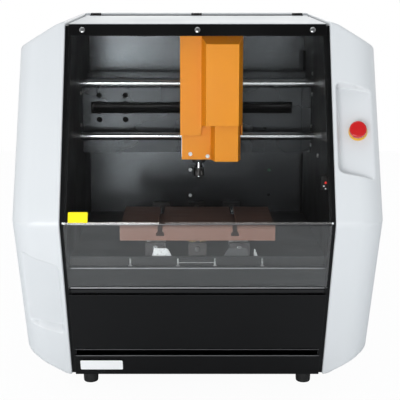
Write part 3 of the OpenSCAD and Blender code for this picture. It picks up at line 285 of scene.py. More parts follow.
def mixColour(tree, factor, first, second, share=1):
    # first and second are colours or sockets; factor is a socket, scaled by share
    mix = tree.nodes.new("ShaderNodeMix")
    mix.data_type = "RGBA"
    colourA, colourB = [i for i, socket in enumerate(mix.inputs) if socket.type == "RGBA"]
    setInputs(tree, mix, {"Factor": maths(tree, "MULTIPLY", factor, share), colourA: first, colourB: second})
    return [socket for socket in mix.outputs if socket.type == "RGBA"][0]


def bump(tree, height, distance, strength, normal):
    relief = {"Height": height, "Distance": distance, "Strength": strength, "Normal": normal}
    return addNode(tree, "Bump", relief).outputs[0]


def coated(name, look):
    # paint or plastic: peel in the normal, slow clouds in tone and gloss, paler edges that are a painted
    # highlight, a little resting dust
    material, tree, shader, vector = newMaterial(name)
    peel = place(tree, paintPeel, Vector=vector, Grain=look["grain"])
    edge = place(tree, softEdge, Radius=look.get("edge", 0.0008))
    dust = place(tree, restingDust, Vector=vector, Amount=look["dust"])
    low, main, rim = look["tones"]
    tone = mixColour(tree, peel["Tone"], low, main)
    # the rim tone laid on the edge mask is a painted highlight along every edge
    highlightedEdges = mixColour(tree, edge["Mask"], tone, rim, look.get("rimShare", 0.5))
    setInputs(tree, shader, {
        "Base Color": mixColour(tree, dust["Mask"], highlightedEdges, (0.5, 0.5, 0.49)),
        "Roughness": between(tree, peel["Tone"], *look["rough"], 0.3, 0.7),
        "Normal": bump(tree, peel["Height"], look["relief"], look.get("strength", 0.5), edge["Normal"]),
        "Specular IOR Level": look.get("specular", 0.5),
        "Specular Tint": look.get("sheen", (1, 1, 1)),
        "Coat Weight": look.get("coat", 0),
        "Coat Roughness": 0.08,
    })
    return material


def metal(name, look):
    # bare metal: tool strokes along one axis, darker stains, bright edges that are a painted highlight
    material, tree, shader, vector = newMaterial(name)
    strokes = place(tree, toolStrokes, Vector=vector, Stretch=look["stretch"])
    clouds = place(tree, paintPeel, Vector=vector, Grain=260)
    edge = place(tree, softEdge, Radius=look["edge"])
    low, main, rim = look["tones"]
    tone = mixColour(tree, strokes["Tone"], low, main)
    stained = mixColour(tree, clouds["Tone"], tone, look["stain"], look["stainShare"])
    setInputs(tree, shader, {
        # the rim tone laid on the edge mask is a painted highlight along every edge
        "Base Color": mixColour(tree, edge["Mask"], stained, rim, look.get("rimShare", 0.6)),
        "Roughness": between(tree, strokes["Tone"], *look["rough"]),
        "Normal": bump(tree, strokes["Height"], look["relief"], 0.4, edge["Normal"]),
        "Metallic": look.get("metallic", 1),
    })
    return material


def printed(name, look):
    # printed or painted small part: flecked colour, gloss broken by the same grain, a soft edge
    material, tree, shader, vector = newMaterial(name)
    peel = place(tree, paintPeel, Vector=vector, Grain=look.get("grain", 900))
    edge = place(tree, softEdge, Radius=0.0004)
    setInputs(tree, shader, {
        "Base Color": mixColour(tree, peel["Height"], look["colour"], look["fleck"], 0.5),
        "Roughness": between(tree, peel["Tone"], look["rough"] * 0.8, look["rough"] * 1.2, 0.3, 0.7),
        "Normal": bump(tree, peel["Height"], 0.00004, 0.4, edge["Normal"]),
        "Specular IOR Level": look.get("specular", 0.5),
    })
    if "glow" in look:
        setInputs(tree, shader, {"Emission Color": look["colour"], "Emission Strength": look["glow"]})
    return material


def paintedEdgeHighlight(name, stops):
    # painted highlight on a cut or bent edge of the clear sheet: a pale grey that rises and falls from stop to
    # stop along X
    material, tree, shader, vector = newMaterial(name)
    split = addNode(tree, "SeparateXYZ", {"Vector": vector})
    ramp = addNode(tree, "ValToRGB", {0: between(tree, split.outputs["X"], 0, 1, -0.28, 0.28)})
    elements = ramp.color_ramp.elements
    while len(elements) < len(stops):
        elements.new(0.5)
    for element, (spot, grey) in zip(elements, stops):
        element.position = spot
        element.color = (grey, grey, grey * 1.03, 1)
    cloud = place(tree, paintPeel, Vector=vector, Grain=300)
    setInputs(tree, shader, {
        "Base Color": mixColour(tree, cloud["Height"], ramp.outputs["Color"], (0.12, 0.12, 0.125), 0.25),
        "Roughness": between(tree, cloud["Tone"], 0.15, 0.35),
    })
    return material


# painted, moulded and bare finishes: tones are the darker clouds, the main colour and the painted highlight on
# the edges
coatLooks = {
    "white_cowl": {
        "tones": ((0.67, 0.69, 0.705), (0.695, 0.71, 0.725), (0.82, 0.835, 0.85)), "rough": (0.3, 0.38),
        "grain": 900, "relief": 6e-5, "edge": 0.002, "dust": 0.05, "strength": 0.35,
    },
    # the lid's white is darker than the cowl's: painted shade, making up for the key light on its top
    "white_lid": {
        "tones": ((0.57, 0.59, 0.605), (0.6, 0.62, 0.635), (0.76, 0.78, 0.79)), "rimShare": 0.4,
        "rough": (0.34, 0.46), "grain": 1500, "relief": 0.00012, "edge": 0.0012, "dust": 0.1,
    },
    "black_panel": {
        "tones": ((0.0035, 0.0035, 0.0038), (0.005, 0.005, 0.0055), (0.08, 0.08, 0.084)), "rimShare": 0.7,
        "rough": (0.36, 0.5), "grain": 1900, "relief": 0.00016, "dust": 0.02, "specular": 0.16,
    },
    "chamber_panel": {
        "tones": ((0.006, 0.006, 0.0068), (0.008, 0.008, 0.009), (0.09, 0.09, 0.095)), "rimShare": 0.7,
        "rough": (0.17, 0.25), "grain": 1300, "relief": 5e-5, "edge": 0.001, "dust": 0.06, "specular": 0.78,
        "sheen": (0.87, 0.93, 1),
    },
    "beam_paint": {
        "tones": ((0.007, 0.007, 0.0075), (0.009, 0.009, 0.0098), (0.1, 0.1, 0.105)), "rimShare": 0.35,
        "rough": (0.24, 0.32), "grain": 1300, "relief": 6e-5, "edge": 0.0006, "dust": 0.04, "specular": 0.45,
        "sheen": (0.87, 0.93, 1),
    },
    "pan_paint": {
        "tones": ((0.011, 0.011, 0.012), (0.014, 0.014, 0.015), (0.09, 0.09, 0.095)), "rimShare": 0.6,
        "rough": (0.34, 0.46), "grain": 1300, "relief": 6e-5, "dust": 0.04, "specular": 0.3,
    },
    "orange_paint": {
        "tones": ((0.9, 0.295, 0.003), (0.94, 0.315, 0.003), (0.98, 0.5, 0.06)), "rimShare": 0.55,
        "rough": (0.34, 0.44), "grain": 1100, "relief": 0.0001, "edge": 0.0016, "dust": 0.03, "specular": 0.28,
    },
    "foot_rubber": {
        "tones": ((0.008, 0.008, 0.008), (0.013, 0.013, 0.013), (0.04, 0.04, 0.04)), "rimShare": 0.6,
        "rough": (0.6, 0.8), "grain": 500, "relief": 0.0002, "edge": 0.001, "dust": 0.25,
    },
    "black_plastic": {
        "tones": ((0.01, 0.01, 0.011), (0.014, 0.014, 0.015), (0.05, 0.05, 0.052)), "rough": (0.32, 0.46),
        "grain": 2600, "relief": 0.0001, "edge": 0.0005, "dust": 0.06,
    },
    "yellow_plastic": {
        "tones": ((0.82, 0.43, 0.022), (0.9, 0.5, 0.03), (0.95, 0.64, 0.12)), "rough": (0.28, 0.36),
        "grain": 1400, "relief": 5e-5, "dust": 0.05,
    },
    "red_plastic": {
        "tones": ((0.5, 0.008, 0.01), (0.62, 0.012, 0.014), (0.78, 0.06, 0.06)), "rough": (0.2, 0.28),
        "grain": 1200, "relief": 4e-5, "edge": 0.001, "dust": 0.02, "coat": 0.3,
    },
    "board_green": {
        "tones": ((0.008, 0.085, 0.03), (0.012, 0.12, 0.045), (0.1, 0.2, 0.1)), "rimShare": 0.4,
        "rough": (0.28, 0.4), "grain": 600, "relief": 8e-5, "edge": 0.0004, "dust": 0.12,
    },
    "motor_black": {
        "tones": ((0.01, 0.01, 0.011), (0.015, 0.015, 0.016), (0.16, 0.16, 0.165)), "rimShare": 0.8,
        "rough": (0.38, 0.52), "grain": 1500, "relief": 0.00015, "dust": 0.12,
    },
    "dark_block": {
        "tones": ((0.035, 0.035, 0.037), (0.06, 0.06, 0.063), (0.3, 0.3, 0.31)), "rimShare": 0.8,
        "rough": (0.34, 0.5), "grain": 900, "relief": 0.0001, "dust": 0.15,
    },
}
metalLooks = {
    "ground_steel": {
        "tones": ((0.7, 0.71, 0.73), (0.82, 0.83, 0.85), (0.9, 0.9, 0.92)), "stain": (0.5, 0.5, 0.52),
        "stainShare": 0.3, "rough": (0.1, 0.2), "stretch": (60, 1500, 1500), "relief": 2e-5, "edge": 0.0005,
    },
    "screw_steel": {
        "tones": ((0.42, 0.42, 0.44), (0.6, 0.6, 0.62), (0.85, 0.85, 0.87)), "stain": (0.2, 0.18, 0.16),
        "stainShare": 0.4, "rough": (0.2, 0.34), "stretch": (900, 200, 200), "relief": 4e-5, "edge": 0.0004,
    },
    "machined_aluminium": {
        "tones": ((0.6, 0.61, 0.63), (0.74, 0.75, 0.77), (0.88, 0.89, 0.9)), "stain": (0.5, 0.5, 0.52),
        "stainShare": 0.3, "rough": (0.26, 0.4), "stretch": (40, 900, 900), "relief": 3e-5, "edge": 0.0008,
    },
    "zinc_steel": {
        "tones": ((0.5, 0.52, 0.55), (0.66, 0.68, 0.7), (0.85, 0.86, 0.88)), "stain": (0.62, 0.58, 0.46),
        "stainShare": 0.25, "rough": (0.24, 0.38), "stretch": (300, 300, 300), "relief": 3e-5, "edge": 0.0006,
    },
    "black_steel": {
        "tones": ((0.03, 0.03, 0.032), (0.05, 0.05, 0.053), (0.4, 0.4, 0.41)), "stain": (0.1, 0.075, 0.06),
        "stainShare": 0.3, "rough": (0.26, 0.42), "stretch": (500, 500, 900), "relief": 4e-5, "edge": 0.0006,
        "rimShare": 0.7,
    },
    "bright_zinc": {
        "tones": ((0.78, 0.79, 0.82), (0.9, 0.91, 0.93), (0.95, 0.95, 0.96)), "stain": (0.6, 0.6, 0.6),
        "stainShare": 0.2, "rough": (0.42, 0.56), "stretch": (300, 300, 300), "relief": 3e-5, "edge": 0.0004,
        "metallic": 0.55,
    },
    "brass_nut": {
        "tones": ((0.68, 0.46, 0.17), (0.83, 0.6, 0.25), (0.92, 0.74, 0.4)), "stain": (0.4, 0.25, 0.1),
        "stainShare": 0.35, "rough": (0.2, 0.32), "stretch": (400, 400, 60), "relief": 3e-5, "edge": 0.0005,
    },
}
# small printed parts, painted shade for dark gaps, and painted highlights on folds
printLooks = {
    "yellowLabel": {"colour": (1, 0.84, 0), "fleck": (0.93, 0.75, 0), "rough": 0.35, "grain": 500},
    "whiteLabel": {"colour": (0.93, 0.935, 0.94), "fleck": (0.84, 0.845, 0.85), "rough": 0.4, "grain": 400},
    "redLamp": {"colour": (0.7, 0.03, 0.02), "fleck": (0.5, 0.02, 0.015), "rough": 0.2, "glow": 0.35},
    "darkGap": {
        "colour": (0.002, 0.002, 0.002), "fleck": (0.004, 0.004, 0.004), "rough": 0.7, "specular": 0.03,
    },
    "foldDark": {"colour": (0.07, 0.07, 0.073), "fleck": (0.045, 0.045, 0.047), "rough": 0.3},
    "foldPale": {"colour": (0.14, 0.14, 0.145), "fleck": (0.09, 0.09, 0.095), "rough": 0.3},
}
# painted highlights on edges: (share of the way from left to right, grey)
edgeHighlightLooks = {
    "foldEdge": [(0, 0.12), (0.04, 0.55), (0.3, 0.5), (0.36, 0.2), (1, 0.07)],
    "sheetEdge": [(0, 0.5), (0.5, 0.42), (1, 0.3)],
}


def makeGlass(name):
    # clear sheet with a faint grey body and a few wipe marks in its gloss; shadow and diffuse rays pass straight
    material, tree, shader, vector = newMaterial(name)
    smear = place(tree, toolStrokes, Vector=vector, Stretch=(9, 30, 5))
    setInputs(tree, shader, {
        "Base Color": (0.97, 0.985, 0.98),
        "Transmission Weight": 1,
        "IOR": 1.585,
        "Roughness": between(tree, smear["Tone"], 0, 0.012),
    })
    path = addNode(tree, "LightPath").outputs
    through = maths(tree, "MAXIMUM", path["Is Shadow Ray"], path["Is Diffuse Ray"])
    mix = mixShaders(tree, through, shader, addNode(tree, "BsdfTransparent", {"Color": (0.95, 0.96, 0.96)}))
    setInputs(tree, tree.nodes["Material Output"], {"Surface": mix.outputs[0]})
    return material


def makeLaminate(name):
    # brown pressed laminate: long fibres along X, a dark top, paler sides with thin sheet layers, paler edges
    # that are a painted highlight
    material, tree, shader, vector = newMaterial(name)
    fibre = place(tree, toolStrokes, Vector=vector, Stretch=(14, 420, 60))
    layers = place(tree, toolStrokes, Vector=vector, Stretch=(2, 2, 1400))
    edge = place(tree, softEdge, Radius=0.0012)
    dust = place(tree, restingDust, Vector=vector, Amount=0.08)
    side = addNode(tree, "SeparateXYZ", {"Vector": addNode(tree, "NewGeometry").outputs["Normal"]})
    upright = between(tree, side.outputs["Z"], 1, 0, 0.3, 0.8)
    top = mixColour(tree, fibre["Tone"], (0.035, 0.015, 0.01), (0.075, 0.034, 0.021))
    body = mixColour(tree, upright, top, (0.2, 0.085, 0.055))
    banded = mixColour(tree, layers["Tone"], body, (0.23, 0.1, 0.065), 0.3)
    # painted highlight: a pale tone laid along the edges
    highlightedEdges = mixColour(tree, edge["Mask"], banded, (0.34, 0.2, 0.14), 0.7)
    setInputs(tree, shader, {
        "Base Color": mixColour(tree, dust["Mask"], highlightedEdges, (0.3, 0.2, 0.15)),
        "Roughness": between(tree, fibre["Tone"], 0.32, 0.5),
        "Normal": bump(tree, fibre["Height"], 0.0001, 0.5, edge["Normal"]),
    })
    return material


materials = {"clear_window": makeGlass("clearWindowFinish"), "laminate": makeLaminate("laminateFinish")}
for make, looks in ((coated, coatLooks), (metal, metalLooks), (printed, printLooks), (paintedEdgeHighlight, edgeHighlightLooks)):
    materials.update({name: make(name + "Finish", look) for name, look in looks.items()})


def dressNodes(own):
    # every node takes the finish of its own slot in the record, apart from those with a finish of their own
    for name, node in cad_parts.items():
        for slot in node.material_slots:
            slot.material = materials[own.get(name, slot.material.name.split(".")[0])]


dressNodes({
    "floor_pan": "pan_paint", "door_switch": "black_panel", "screw_bearings": "black_steel",
    "y_rod_supports": "black_steel",
})
print("stage: materials ready")


# the scene's own pieces
def gridQuads(rows, columns, wrap=True):
    # corner numbers of a grid's quads; with wrap the last column meets the first
    i, j = np.meshgrid(np.arange(rows - 1), np.arange(columns if wrap else columns - 1), indexing="ij")
    k = (j + 1) % columns
    quads = [i * columns + j, i * columns + k, (i + 1) * columns + k, (i + 1) * columns + j]
    return np.stack(quads, -1).reshape(-1, 4)


def repeatQuads(quads, points, count):
    # the quads of one form, numbered for as many copies of its points
    return (quads[None] + np.arange(count)[:, None, None] * points).reshape(-1, quads.shape[1])


def addPiece(name, points, quads, finish, body="frame", smooth=True, solid=True):
    # a mesh from points and quads; meeting points are joined, and closed forms get their faces turned outwards
    mesh = bpy.data.meshes.new(name)
    mesh.from_pydata(np.asarray(points, float).reshape(-1, 3), [], np.asarray(quads))
    work = bmesh.new()
    work.from_mesh(mesh)
    bmesh.ops.remove_doubles(work, verts=work.verts, dist=2e-6)
    if solid:
        bmesh.ops.recalc_face_normals(work, faces=work.faces)
    work.to_mesh(mesh)
    work.free()
    mesh.polygons.foreach_set("use_smooth", np.full(len(mesh.polygons), smooth))
    mesh.materials.append(materials[finish])
    piece = addObject(name, mesh)
    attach(piece, body)
    return piece


def turnAngles(count):
    return np.arange(count) / count * 2 * math.pi


def turnedForm(rows, count, wide=None):
    # rows of (radius, height) turned about Z; wide gives radii that vary round the turn
    turn = turnAngles(count)
    wide = rows[:, :1] if wide is None else wide
    return np.stack([
        wide * np.cos(turn), wide * np.sin(turn), np.broadcast_to(rows[:, 1:], (len(rows), count)),
    ], -1).reshape(-1, 3)


def addTurned(name, profile, count, spots, finish):
    # one profile turned about Z, set upright at each spot
    rows = np.array(profile)
    form = turnedForm(rows, count)
    quads = repeatQuads(gridQuads(len(rows), count), len(form), len(spots))
    return addPiece(name, np.array(spots)[:, None] + form, quads, finish)


def roundMax(a, b, r):
    # the larger of two signed distances, with the corner between them turned into an arc of radius r
    return np.minimum(np.maximum(a, b), -r) + np.hypot(np.maximum(a + r, 0), np.maximum(b + r, 0))


def spread(*stops):
    # values from stop to stop, each pair of stops with its own step between them
    spans = zip(stops[0::2], stops[1::2], stops[2::2])
    parts = [np.linspace(a, b, max(2, int(round((b - a) / step)) + 1))[:-1] for a, step, b in spans]
    return np.append(np.concatenate(parts), stops[-1])


# side cowls: rakes and tilts in degrees; inner and outer are the ends of the recess along the front, at its two
# sides, and the hole is given as (across, along, radius)
cowlShape = {
    "inner": 0.2856, "outer": 0.391, "low": 0.031, "nose": 0.418, "high": 0.842, "tip": -0.306695,
    "back": 0.305, "upperRake": 21.9, "lowerRake": 20.8, "topRake": 1.8,
    "cornerX": 0.387, "cornerLow": 0.096, "cornerHigh": 0.786, "stripX": 0.2956, "slopeLow": 0.026,
    "noseRound": 0.0065, "sideRound": 0.056, "cornerRound": 0.005, "slopeRound": 0.0045, "rimRound": 0.0022,
    "endRound": 0.008, "wall": 0.003, "core": 0.072,
    "recessX": 0.2976, "recessDeep": 0.026, "recessTilt": 9, "recessWide": 0.14, "recessRound": 0.012,
    "floorRound": 0.006, "lipRound": 0.0028,
}
rakes = [math.radians(cowlShape[key]) for key in ("upperRake", "lowerRake", "topRake")]
cowlSides = {
    "cowl_right": {
        "side": 1, "rake": -cowlShape["upperRake"], "inner": (0.113, 0.308), "outer": (0.083, 0.277),
        "hole": (0.043, 0.203, 0.0135), "slantFrom": 0, "slantTo": 0.45,
    },
    "cowl_left": {
        "side": -1, "rake": cowlShape["lowerRake"], "inner": (-0.291, -0.107), "outer": (-0.235, -0.047),
        "hole": None, "slantFrom": -0.41, "slantTo": 0,
    },
}
# the cowl's grid: steps along the outline, with (reach, step) at its corners and at the recess's ends, the least
# gap, rings that close the outer face on a middle (y, z), how far the core keeps from both faces along X, how far
# outside the points start, and how often their way is halved
cowlGrid = {
    "step": 0.009, "corners": ((0.012, 0.002), (0.05, 0.005)), "lip": (0.016, 0.0014), "recessStep": 0.0035,
    "closest": 0.0011, "rings": 22, "middle": (0.06, 0.43), "core": (0.006, 0.06), "clear": 0.012, "halvings": 22,
}


def recessSpace(x, y, z, side):
    # a point in the recess's own space: across, depth past its floor, and height along the leaning front
    c = cowlShape
    lean, tilt = math.radians(side["rake"]), math.radians(c["recessTilt"])
    dx, dy, dz = x - c["recessX"], y - c["tip"], z - c["nose"]
    deep = dy * math.cos(lean) + dz * math.sin(lean) - c["recessDeep"]
    along = dz * math.cos(lean) - dy * math.sin(lean)
    return dx * math.cos(tilt) - deep * math.sin(tilt), dx * math.sin(tilt) + deep * math.cos(tilt), along


def cowlField(x, y, z, side):
    # signed distance of the right cowl: leaning fronts, side, slopes, top, back, foot and inner face meet in
    # arcs, and the recess, a tilted floor inside four slanting walls, is taken out of it
    c = cowlShape

    def plane(px, pz, qx, qz, dz=0):
        length = math.hypot(qx - px, qz - pz)
        return ((x - px) * (qz - pz) - (z - dz - pz) * (qx - px)) / length

    up, low, top = rakes
    front = roundMax(
        (z - c["nose"]) * math.sin(up) - (y - c["tip"]) * math.cos(up),
        (c["nose"] - z) * math.sin(low) - (y - c["tip"]) * math.cos(low),
        c["noseRound"],
    )
    flank = np.maximum(
        plane(c["cornerX"], c["cornerLow"], c["outer"], c["nose"]),
        plane(c["outer"], c["nose"], c["cornerX"], c["cornerHigh"]),
    )
    body = roundMax(front, flank, c["sideRound"])
    fall = (y - c["back"]) * math.tan(top)
    body = roundMax(body, plane(c["cornerX"], c["cornerHigh"], c["stripX"], c["high"], fall), c["cornerRound"])
    body = roundMax(body, plane(c["inner"], c["slopeLow"], c["cornerX"], c["cornerLow"]), c["slopeRound"])
    body = roundMax(body, (z - c["high"]) * math.cos(top) - (y - c["back"]) * math.sin(top), c["endRound"])
    body = roundMax(body, y - c["back"], c["endRound"])
    body = roundMax(body, c["low"] - z, c["endRound"])
    body = roundMax(body, c["inner"] - x, c["rimRound"])
    across, deep, along = recessSpace(x, y, z, side)
    walls = -across
    for end, sign in ((1, 1), (0, -1)):
        rise = side["outer"][end] - side["inner"][end]
        wall = sign * ((along - side["inner"][end]) * c["recessWide"] - across * rise)
        walls = roundMax(walls, wall / math.hypot(rise, c["recessWide"]), c["recessRound"])
    return roundMax(body, -roundMax(walls, deep, c["floorRound"]), c["lipRound"])


def outlineMarks(stations, lengths, base):
    # places round the outline: even steps, closer together at its corners and round the recess
    g = cowlGrid
    marks = [stations, np.arange(base[0], base[1], g["recessStep"])]
    for station, length in zip(stations, lengths):
        marks.append(np.arange(0, length, g["step"]) + station)
        marks += [np.arange(-reach, reach, step) + station for reach, step in g["corners"]]
    reach, step = g["lip"]
    marks += [np.arange(-reach, reach, step) + edge for edge in base]
    marks = np.unique(np.round(np.concatenate(marks) % stations[-1], 5))
    return np.append(marks[np.append(True, np.diff(marks) > g["closest"])], stations[-1])


def nearestCore(x, y, z, ring):
    # nearest point of the core: the outline moved inwards, cut to the middle of the cowl's thickness
    c, g = cowlShape, cowlGrid
    inward = np.roll(ring, -1, 0) - ring
    inward = np.stack([-inward[:, 1], inward[:, 0]], -1) / np.hypot(*inward.T)[:, None]
    inward *= np.sign(((np.array(g["middle"]) - ring) * inward).sum(-1))[:, None]
    before = np.roll(inward, 1, 0)
    core = ring + (inward + before) * (c["core"] / (1 + (inward * before).sum(-1)))[:, None]
    depth = ((y[..., None] - ring[:, 0]) * inward[:, 0] + (z[..., None] - ring[:, 1]) * inward[:, 1]).min(-1)
    best, ky, kz = np.full(y.shape, math.inf), y, z
    for a, b in zip(core, np.roll(core, -1, 0)):
        t = np.clip(((y - a[0]) * (b - a)[0] + (z - a[1]) * (b - a)[1]) / ((b - a) ** 2).sum(), 0, 1)
        ny, nz = a[0] + t * (b - a)[0], a[1] + t * (b - a)[1]
        away = np.hypot(y - ny, z - nz)
        closer = (away < best) & (depth < c["core"])
        best, ky, kz = np.where(closer, away, best), np.where(closer, ny, ky), np.where(closer, nz, kz)
    return np.clip(x, c["inner"] + g["core"][0], c["outer"] - g["core"][1]), ky, kz


def makeCowl(name, side):
    # grid wrapped round the side outline and over the outer face; every point slides from outside towards an
    # inner core until it meets the signed distance's zero
    c, g = cowlShape, cowlGrid
    up, low, top = rakes
    foot = c["tip"] + (c["nose"] - c["low"]) * math.tan(low)
    rise, fall = math.tan(up), math.tan(top)
    reach = c["tip"] - c["nose"] * rise
    brow = (c["high"] - (c["back"] - reach) * fall) / (1 - rise * fall)
    corners = np.array([
        (c["back"], c["low"]), (foot, c["low"]), (c["tip"], c["nose"]), (reach + brow * rise, brow),
        (c["back"], c["high"]), (c["back"], c["low"]),
    ])
    lengths = np.hypot(*np.diff(corners, axis=0).T)
    stations = np.append(0, np.cumsum(lengths))
    nose = stations[2]
    base = nose + np.array(side["inner"])
    marks = outlineMarks(stations, lengths, base)
    inner, outer = c["inner"], c["outer"]
    xs = spread(inner - 0.003, 0.001, inner + 0.006, 0.0012, inner + 0.018, 0.0032, outer + 0.004)
    # rings draw the outline in to the middle: a little before the rim, not at all along X, then all the way
    rings = np.concatenate([[0.004], np.zeros(len(xs)), np.geomspace(0.002, 1, g["rings"])])
    xs = np.concatenate([[xs[0]], xs, np.full(g["rings"], xs[-1])])
    s, x = np.meshgrid(marks, xs, indexing="ij")
    # the grid leans with the recess's slanting ends
    slant = (side["outer"][0] - side["inner"][0]) / c["recessWide"]
    ends = [nose + side["slantFrom"], base[0] - 0.02, base[1] + 0.02, nose + side["slantTo"]]
    s = s + np.interp(marks, ends, [0, 1, 1, 0])[:, None] * slant * np.maximum(x - c["recessX"], 0)
    y, z = np.interp(s, stations, corners[:, 0]), np.interp(s, stations, corners[:, 1])
    y, z = y + (g["middle"][0] - y) * rings, z + (g["middle"][1] - z) * rings
    here, core = np.stack([x, y, z]), np.stack(nearestCore(x, y, z, corners[:-1]))
    away = np.sqrt(((here - core) ** 2).sum(0))
    start = core + (here - core) * (1 + g["clear"] / np.maximum(away, 0.01))
    near, far = np.zeros(x.shape), np.ones(x.shape)
    for _ in range(g["halvings"]):
        half = (near + far) / 2
        inside = cowlField(*(start + (core - start) * half), side) < 0
        near, far = np.where(inside, near, half), np.where(inside, half, far)
    px, py, pz = start + (core - start) * far
    quads = gridQuads(*x.shape, wrap=False)
    if side["hole"]:
        holeX, holeUp, holeRadius = side["hole"]
        across, deep, along = recessSpace(px, py, pz, side)
        out = (np.hypot(across - holeX, along - holeUp) < holeRadius) & (abs(deep) < 0.01)
        quads = quads[~out.ravel()[quads].any(-1)]
    points = np.stack([px * side["side"], py, pz], -1).reshape(-1, 3)
    if side["side"] < 0:
        quads = quads[:, ::-1]
    piece = addPiece(name + "_shell", points, quads, "white_cowl", solid=False)
    shell = piece.modifiers.new("shell", "SOLIDIFY")
    shell.thickness = c["wall"]
    shell.offset = -1
    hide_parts(name)


for cowlName, cowlSide in cowlSides.items():
    makeCowl(cowlName, cowlSide)
print("stage: cowls ready")


# screw heads: radius, height, and the socket's radius and depth
headLooks = {
    "small": (0.0035, 0.0022, 0.0016, 0.0013),
    "middle": (0.0045, 0.003, 0.0022, 0.0018),
    "flush": (0.0042, 0.0006, 0.0018, 0.0004),
    "fold": (0.0024, 0.0012, 0.001, 0.0006),
    "lamp": (0.0026, 0.0016, 0.0006, 0.0002),
}


def headProfile(radius, height, socket, deep):
    # centre to rim: socket floor, socket wall, flat top, rounded shoulder, skirt; rows of (radius, height)
    turn = np.linspace(0, math.pi / 2, 6)
    shoulder = radius * 0.22
    rows = [(0, height - deep), (socket, height - deep), (socket, height - 0.15 * deep), (socket * 1.08, height)]
    rows += list(zip(radius - shoulder + shoulder * np.sin(turn), height - shoulder + shoulder * np.cos(turn)))
    return np.array(rows + [(radius, 0), (0, 0)])


def addHeads(name, look, spots, finish, body="frame"):
    # hexagon socket heads: one turned profile, its first rows drawn in to a hexagon, set at each spot along its
    # axis; spots are (x, y, z, axis x, axis y, axis z)
    rows, count, sixth = headProfile(*headLooks[look]), 36, math.pi / 3
    hexagon = 0.9 / np.cos((turnAngles(count) + sixth / 2) % sixth - sixth / 2)
    socket = np.arange(len(rows))[:, None] < 3
    form = turnedForm(rows, count, np.where(socket, rows[:, :1] * hexagon, rows[:, :1]))
    spots = np.array(spots, float).reshape(-1, 6)
    axis = spots[:, 3:] / np.linalg.norm(spots[:, 3:], axis=1)[:, None]
    side = np.cross(axis, np.where(abs(axis[:, :1]) > 0.8, (0, 1, 0), (1, 0, 0)))
    side /= np.linalg.norm(side, axis=1)[:, None]
    turnAxes = np.stack([side, np.cross(axis, side), axis], 1)
    points = spots[:, None, :3] + np.einsum("pk,nkc->npc", form, turnAxes)
    quads = repeatQuads(gridQuads(len(rows), count), len(form), len(spots))
    return addPiece(name, points, quads, finish, body)


# plates, lines and labels
def addBox(name, spans, finish, body="frame"):
    # boxes given as (x0, y0, z0, x1, y1, z1)
    spans = np.array(spans, float).reshape(-1, 2, 3)
    pick = np.array([(i, j, k) for i in (0, 1) for j in (0, 1) for k in (0, 1)])
    points = np.stack([spans[:, pick[:, a], a] for a in range(3)], -1)
    quads = np.array([(0, 1, 3, 2), (4, 6, 7, 5), (0, 4, 5, 1), (2, 3, 7, 6), (0, 2, 6, 4), (1, 5, 7, 3)])
    return addPiece(name, points, repeatQuads(quads, 8, len(spans)), finish, body, smooth=False)


def addPlates(name, outlines, y0, y1, finish, body="frame"):
    # flat plates across Y: four-cornered outlines of (x, z), each drawn from y0 to y1
    flat = np.array(outlines, float)
    near = np.stack([flat[..., 0], np.full(flat.shape[:2], y0), flat[..., 1]], -1)
    points = np.concatenate([near, near + (0, y1 - y0, 0)], 1)
    quads = np.array([(0, 1, 2, 3), (7, 6, 5, 4), (0, 4, 5, 1), (1, 5, 6, 2), (2, 6, 7, 3), (3, 7, 4, 0)])
    return addPiece(name, points, repeatQuads(quads, 8, len(flat)), finish, body, smooth=False)


def addBead(name, look, body="frame"):
    # thin bead along X: a circle swept between its two closed ends
    count, steps, radius, (x0, x1) = 10, 40, look["radius"], look["x"]
    turn = turnAngles(count)
    xs = np.array([x0, x0, *np.linspace(x0, x1, steps), x1, x1])
    size = np.array([0, radius, *np.full(steps, radius), radius, 0])[:, None]
    x = np.broadcast_to(xs[:, None], (len(xs), count))
    points = np.stack([x, look["y"] + size * np.cos(turn), look["z"] + size * np.sin(turn)], -1)
    return addPiece(name, points, gridQuads(len(xs), count), look["finish"], body)


def rakeAt(z):
    # lean of the cabinet's front at height z: upwards, to the rear above the nose and to the front below it
    return rakes[0] if z > cowlShape["nose"] else -rakes[1]


def frontAt(z, off):
    # Y of the cabinet's front at height z, moved inwards by off
    return cowlShape["tip"] + (z - cowlShape["nose"]) * math.tan(rakeAt(z)) + off / math.cos(rakeAt(z))


def addLabel(name, look, body="frame"):
    # rounded plate that lies on the leaning front: outline swept from a fan centre to a thin edge
    count, thick = 48, 0.0003
    turn = np.linspace(0, 2 * math.pi, count + 1)[:-1]
    half = np.array(look["size"]) / 2 - look["corner"]
    u = np.sign(np.cos(turn)) * half[0] + look["corner"] * np.cos(turn)
    v = np.sign(np.sin(turn)) * half[1] + look["corner"] * np.sin(turn)
    scale, lift = np.array([0, 0.97, 1, 1]), np.array([1, 1, 0.7, 0]) * thick
    a = rakeAt(look["z"])
    u, v = scale[:, None] * u, scale[:, None] * v
    w = np.broadcast_to(lift[:, None], u.shape)
    y = frontAt(look["z"], sheetThick) + look["sunk"]
    points = np.stack([
        look["x"] + u,
        y + v * math.sin(a) - w * math.cos(a),
        look["z"] + v * math.cos(a) + w * math.sin(a),
    ], -1)
    return addPiece(name, points, gridQuads(len(scale), count), look["finish"], body, smooth=False)


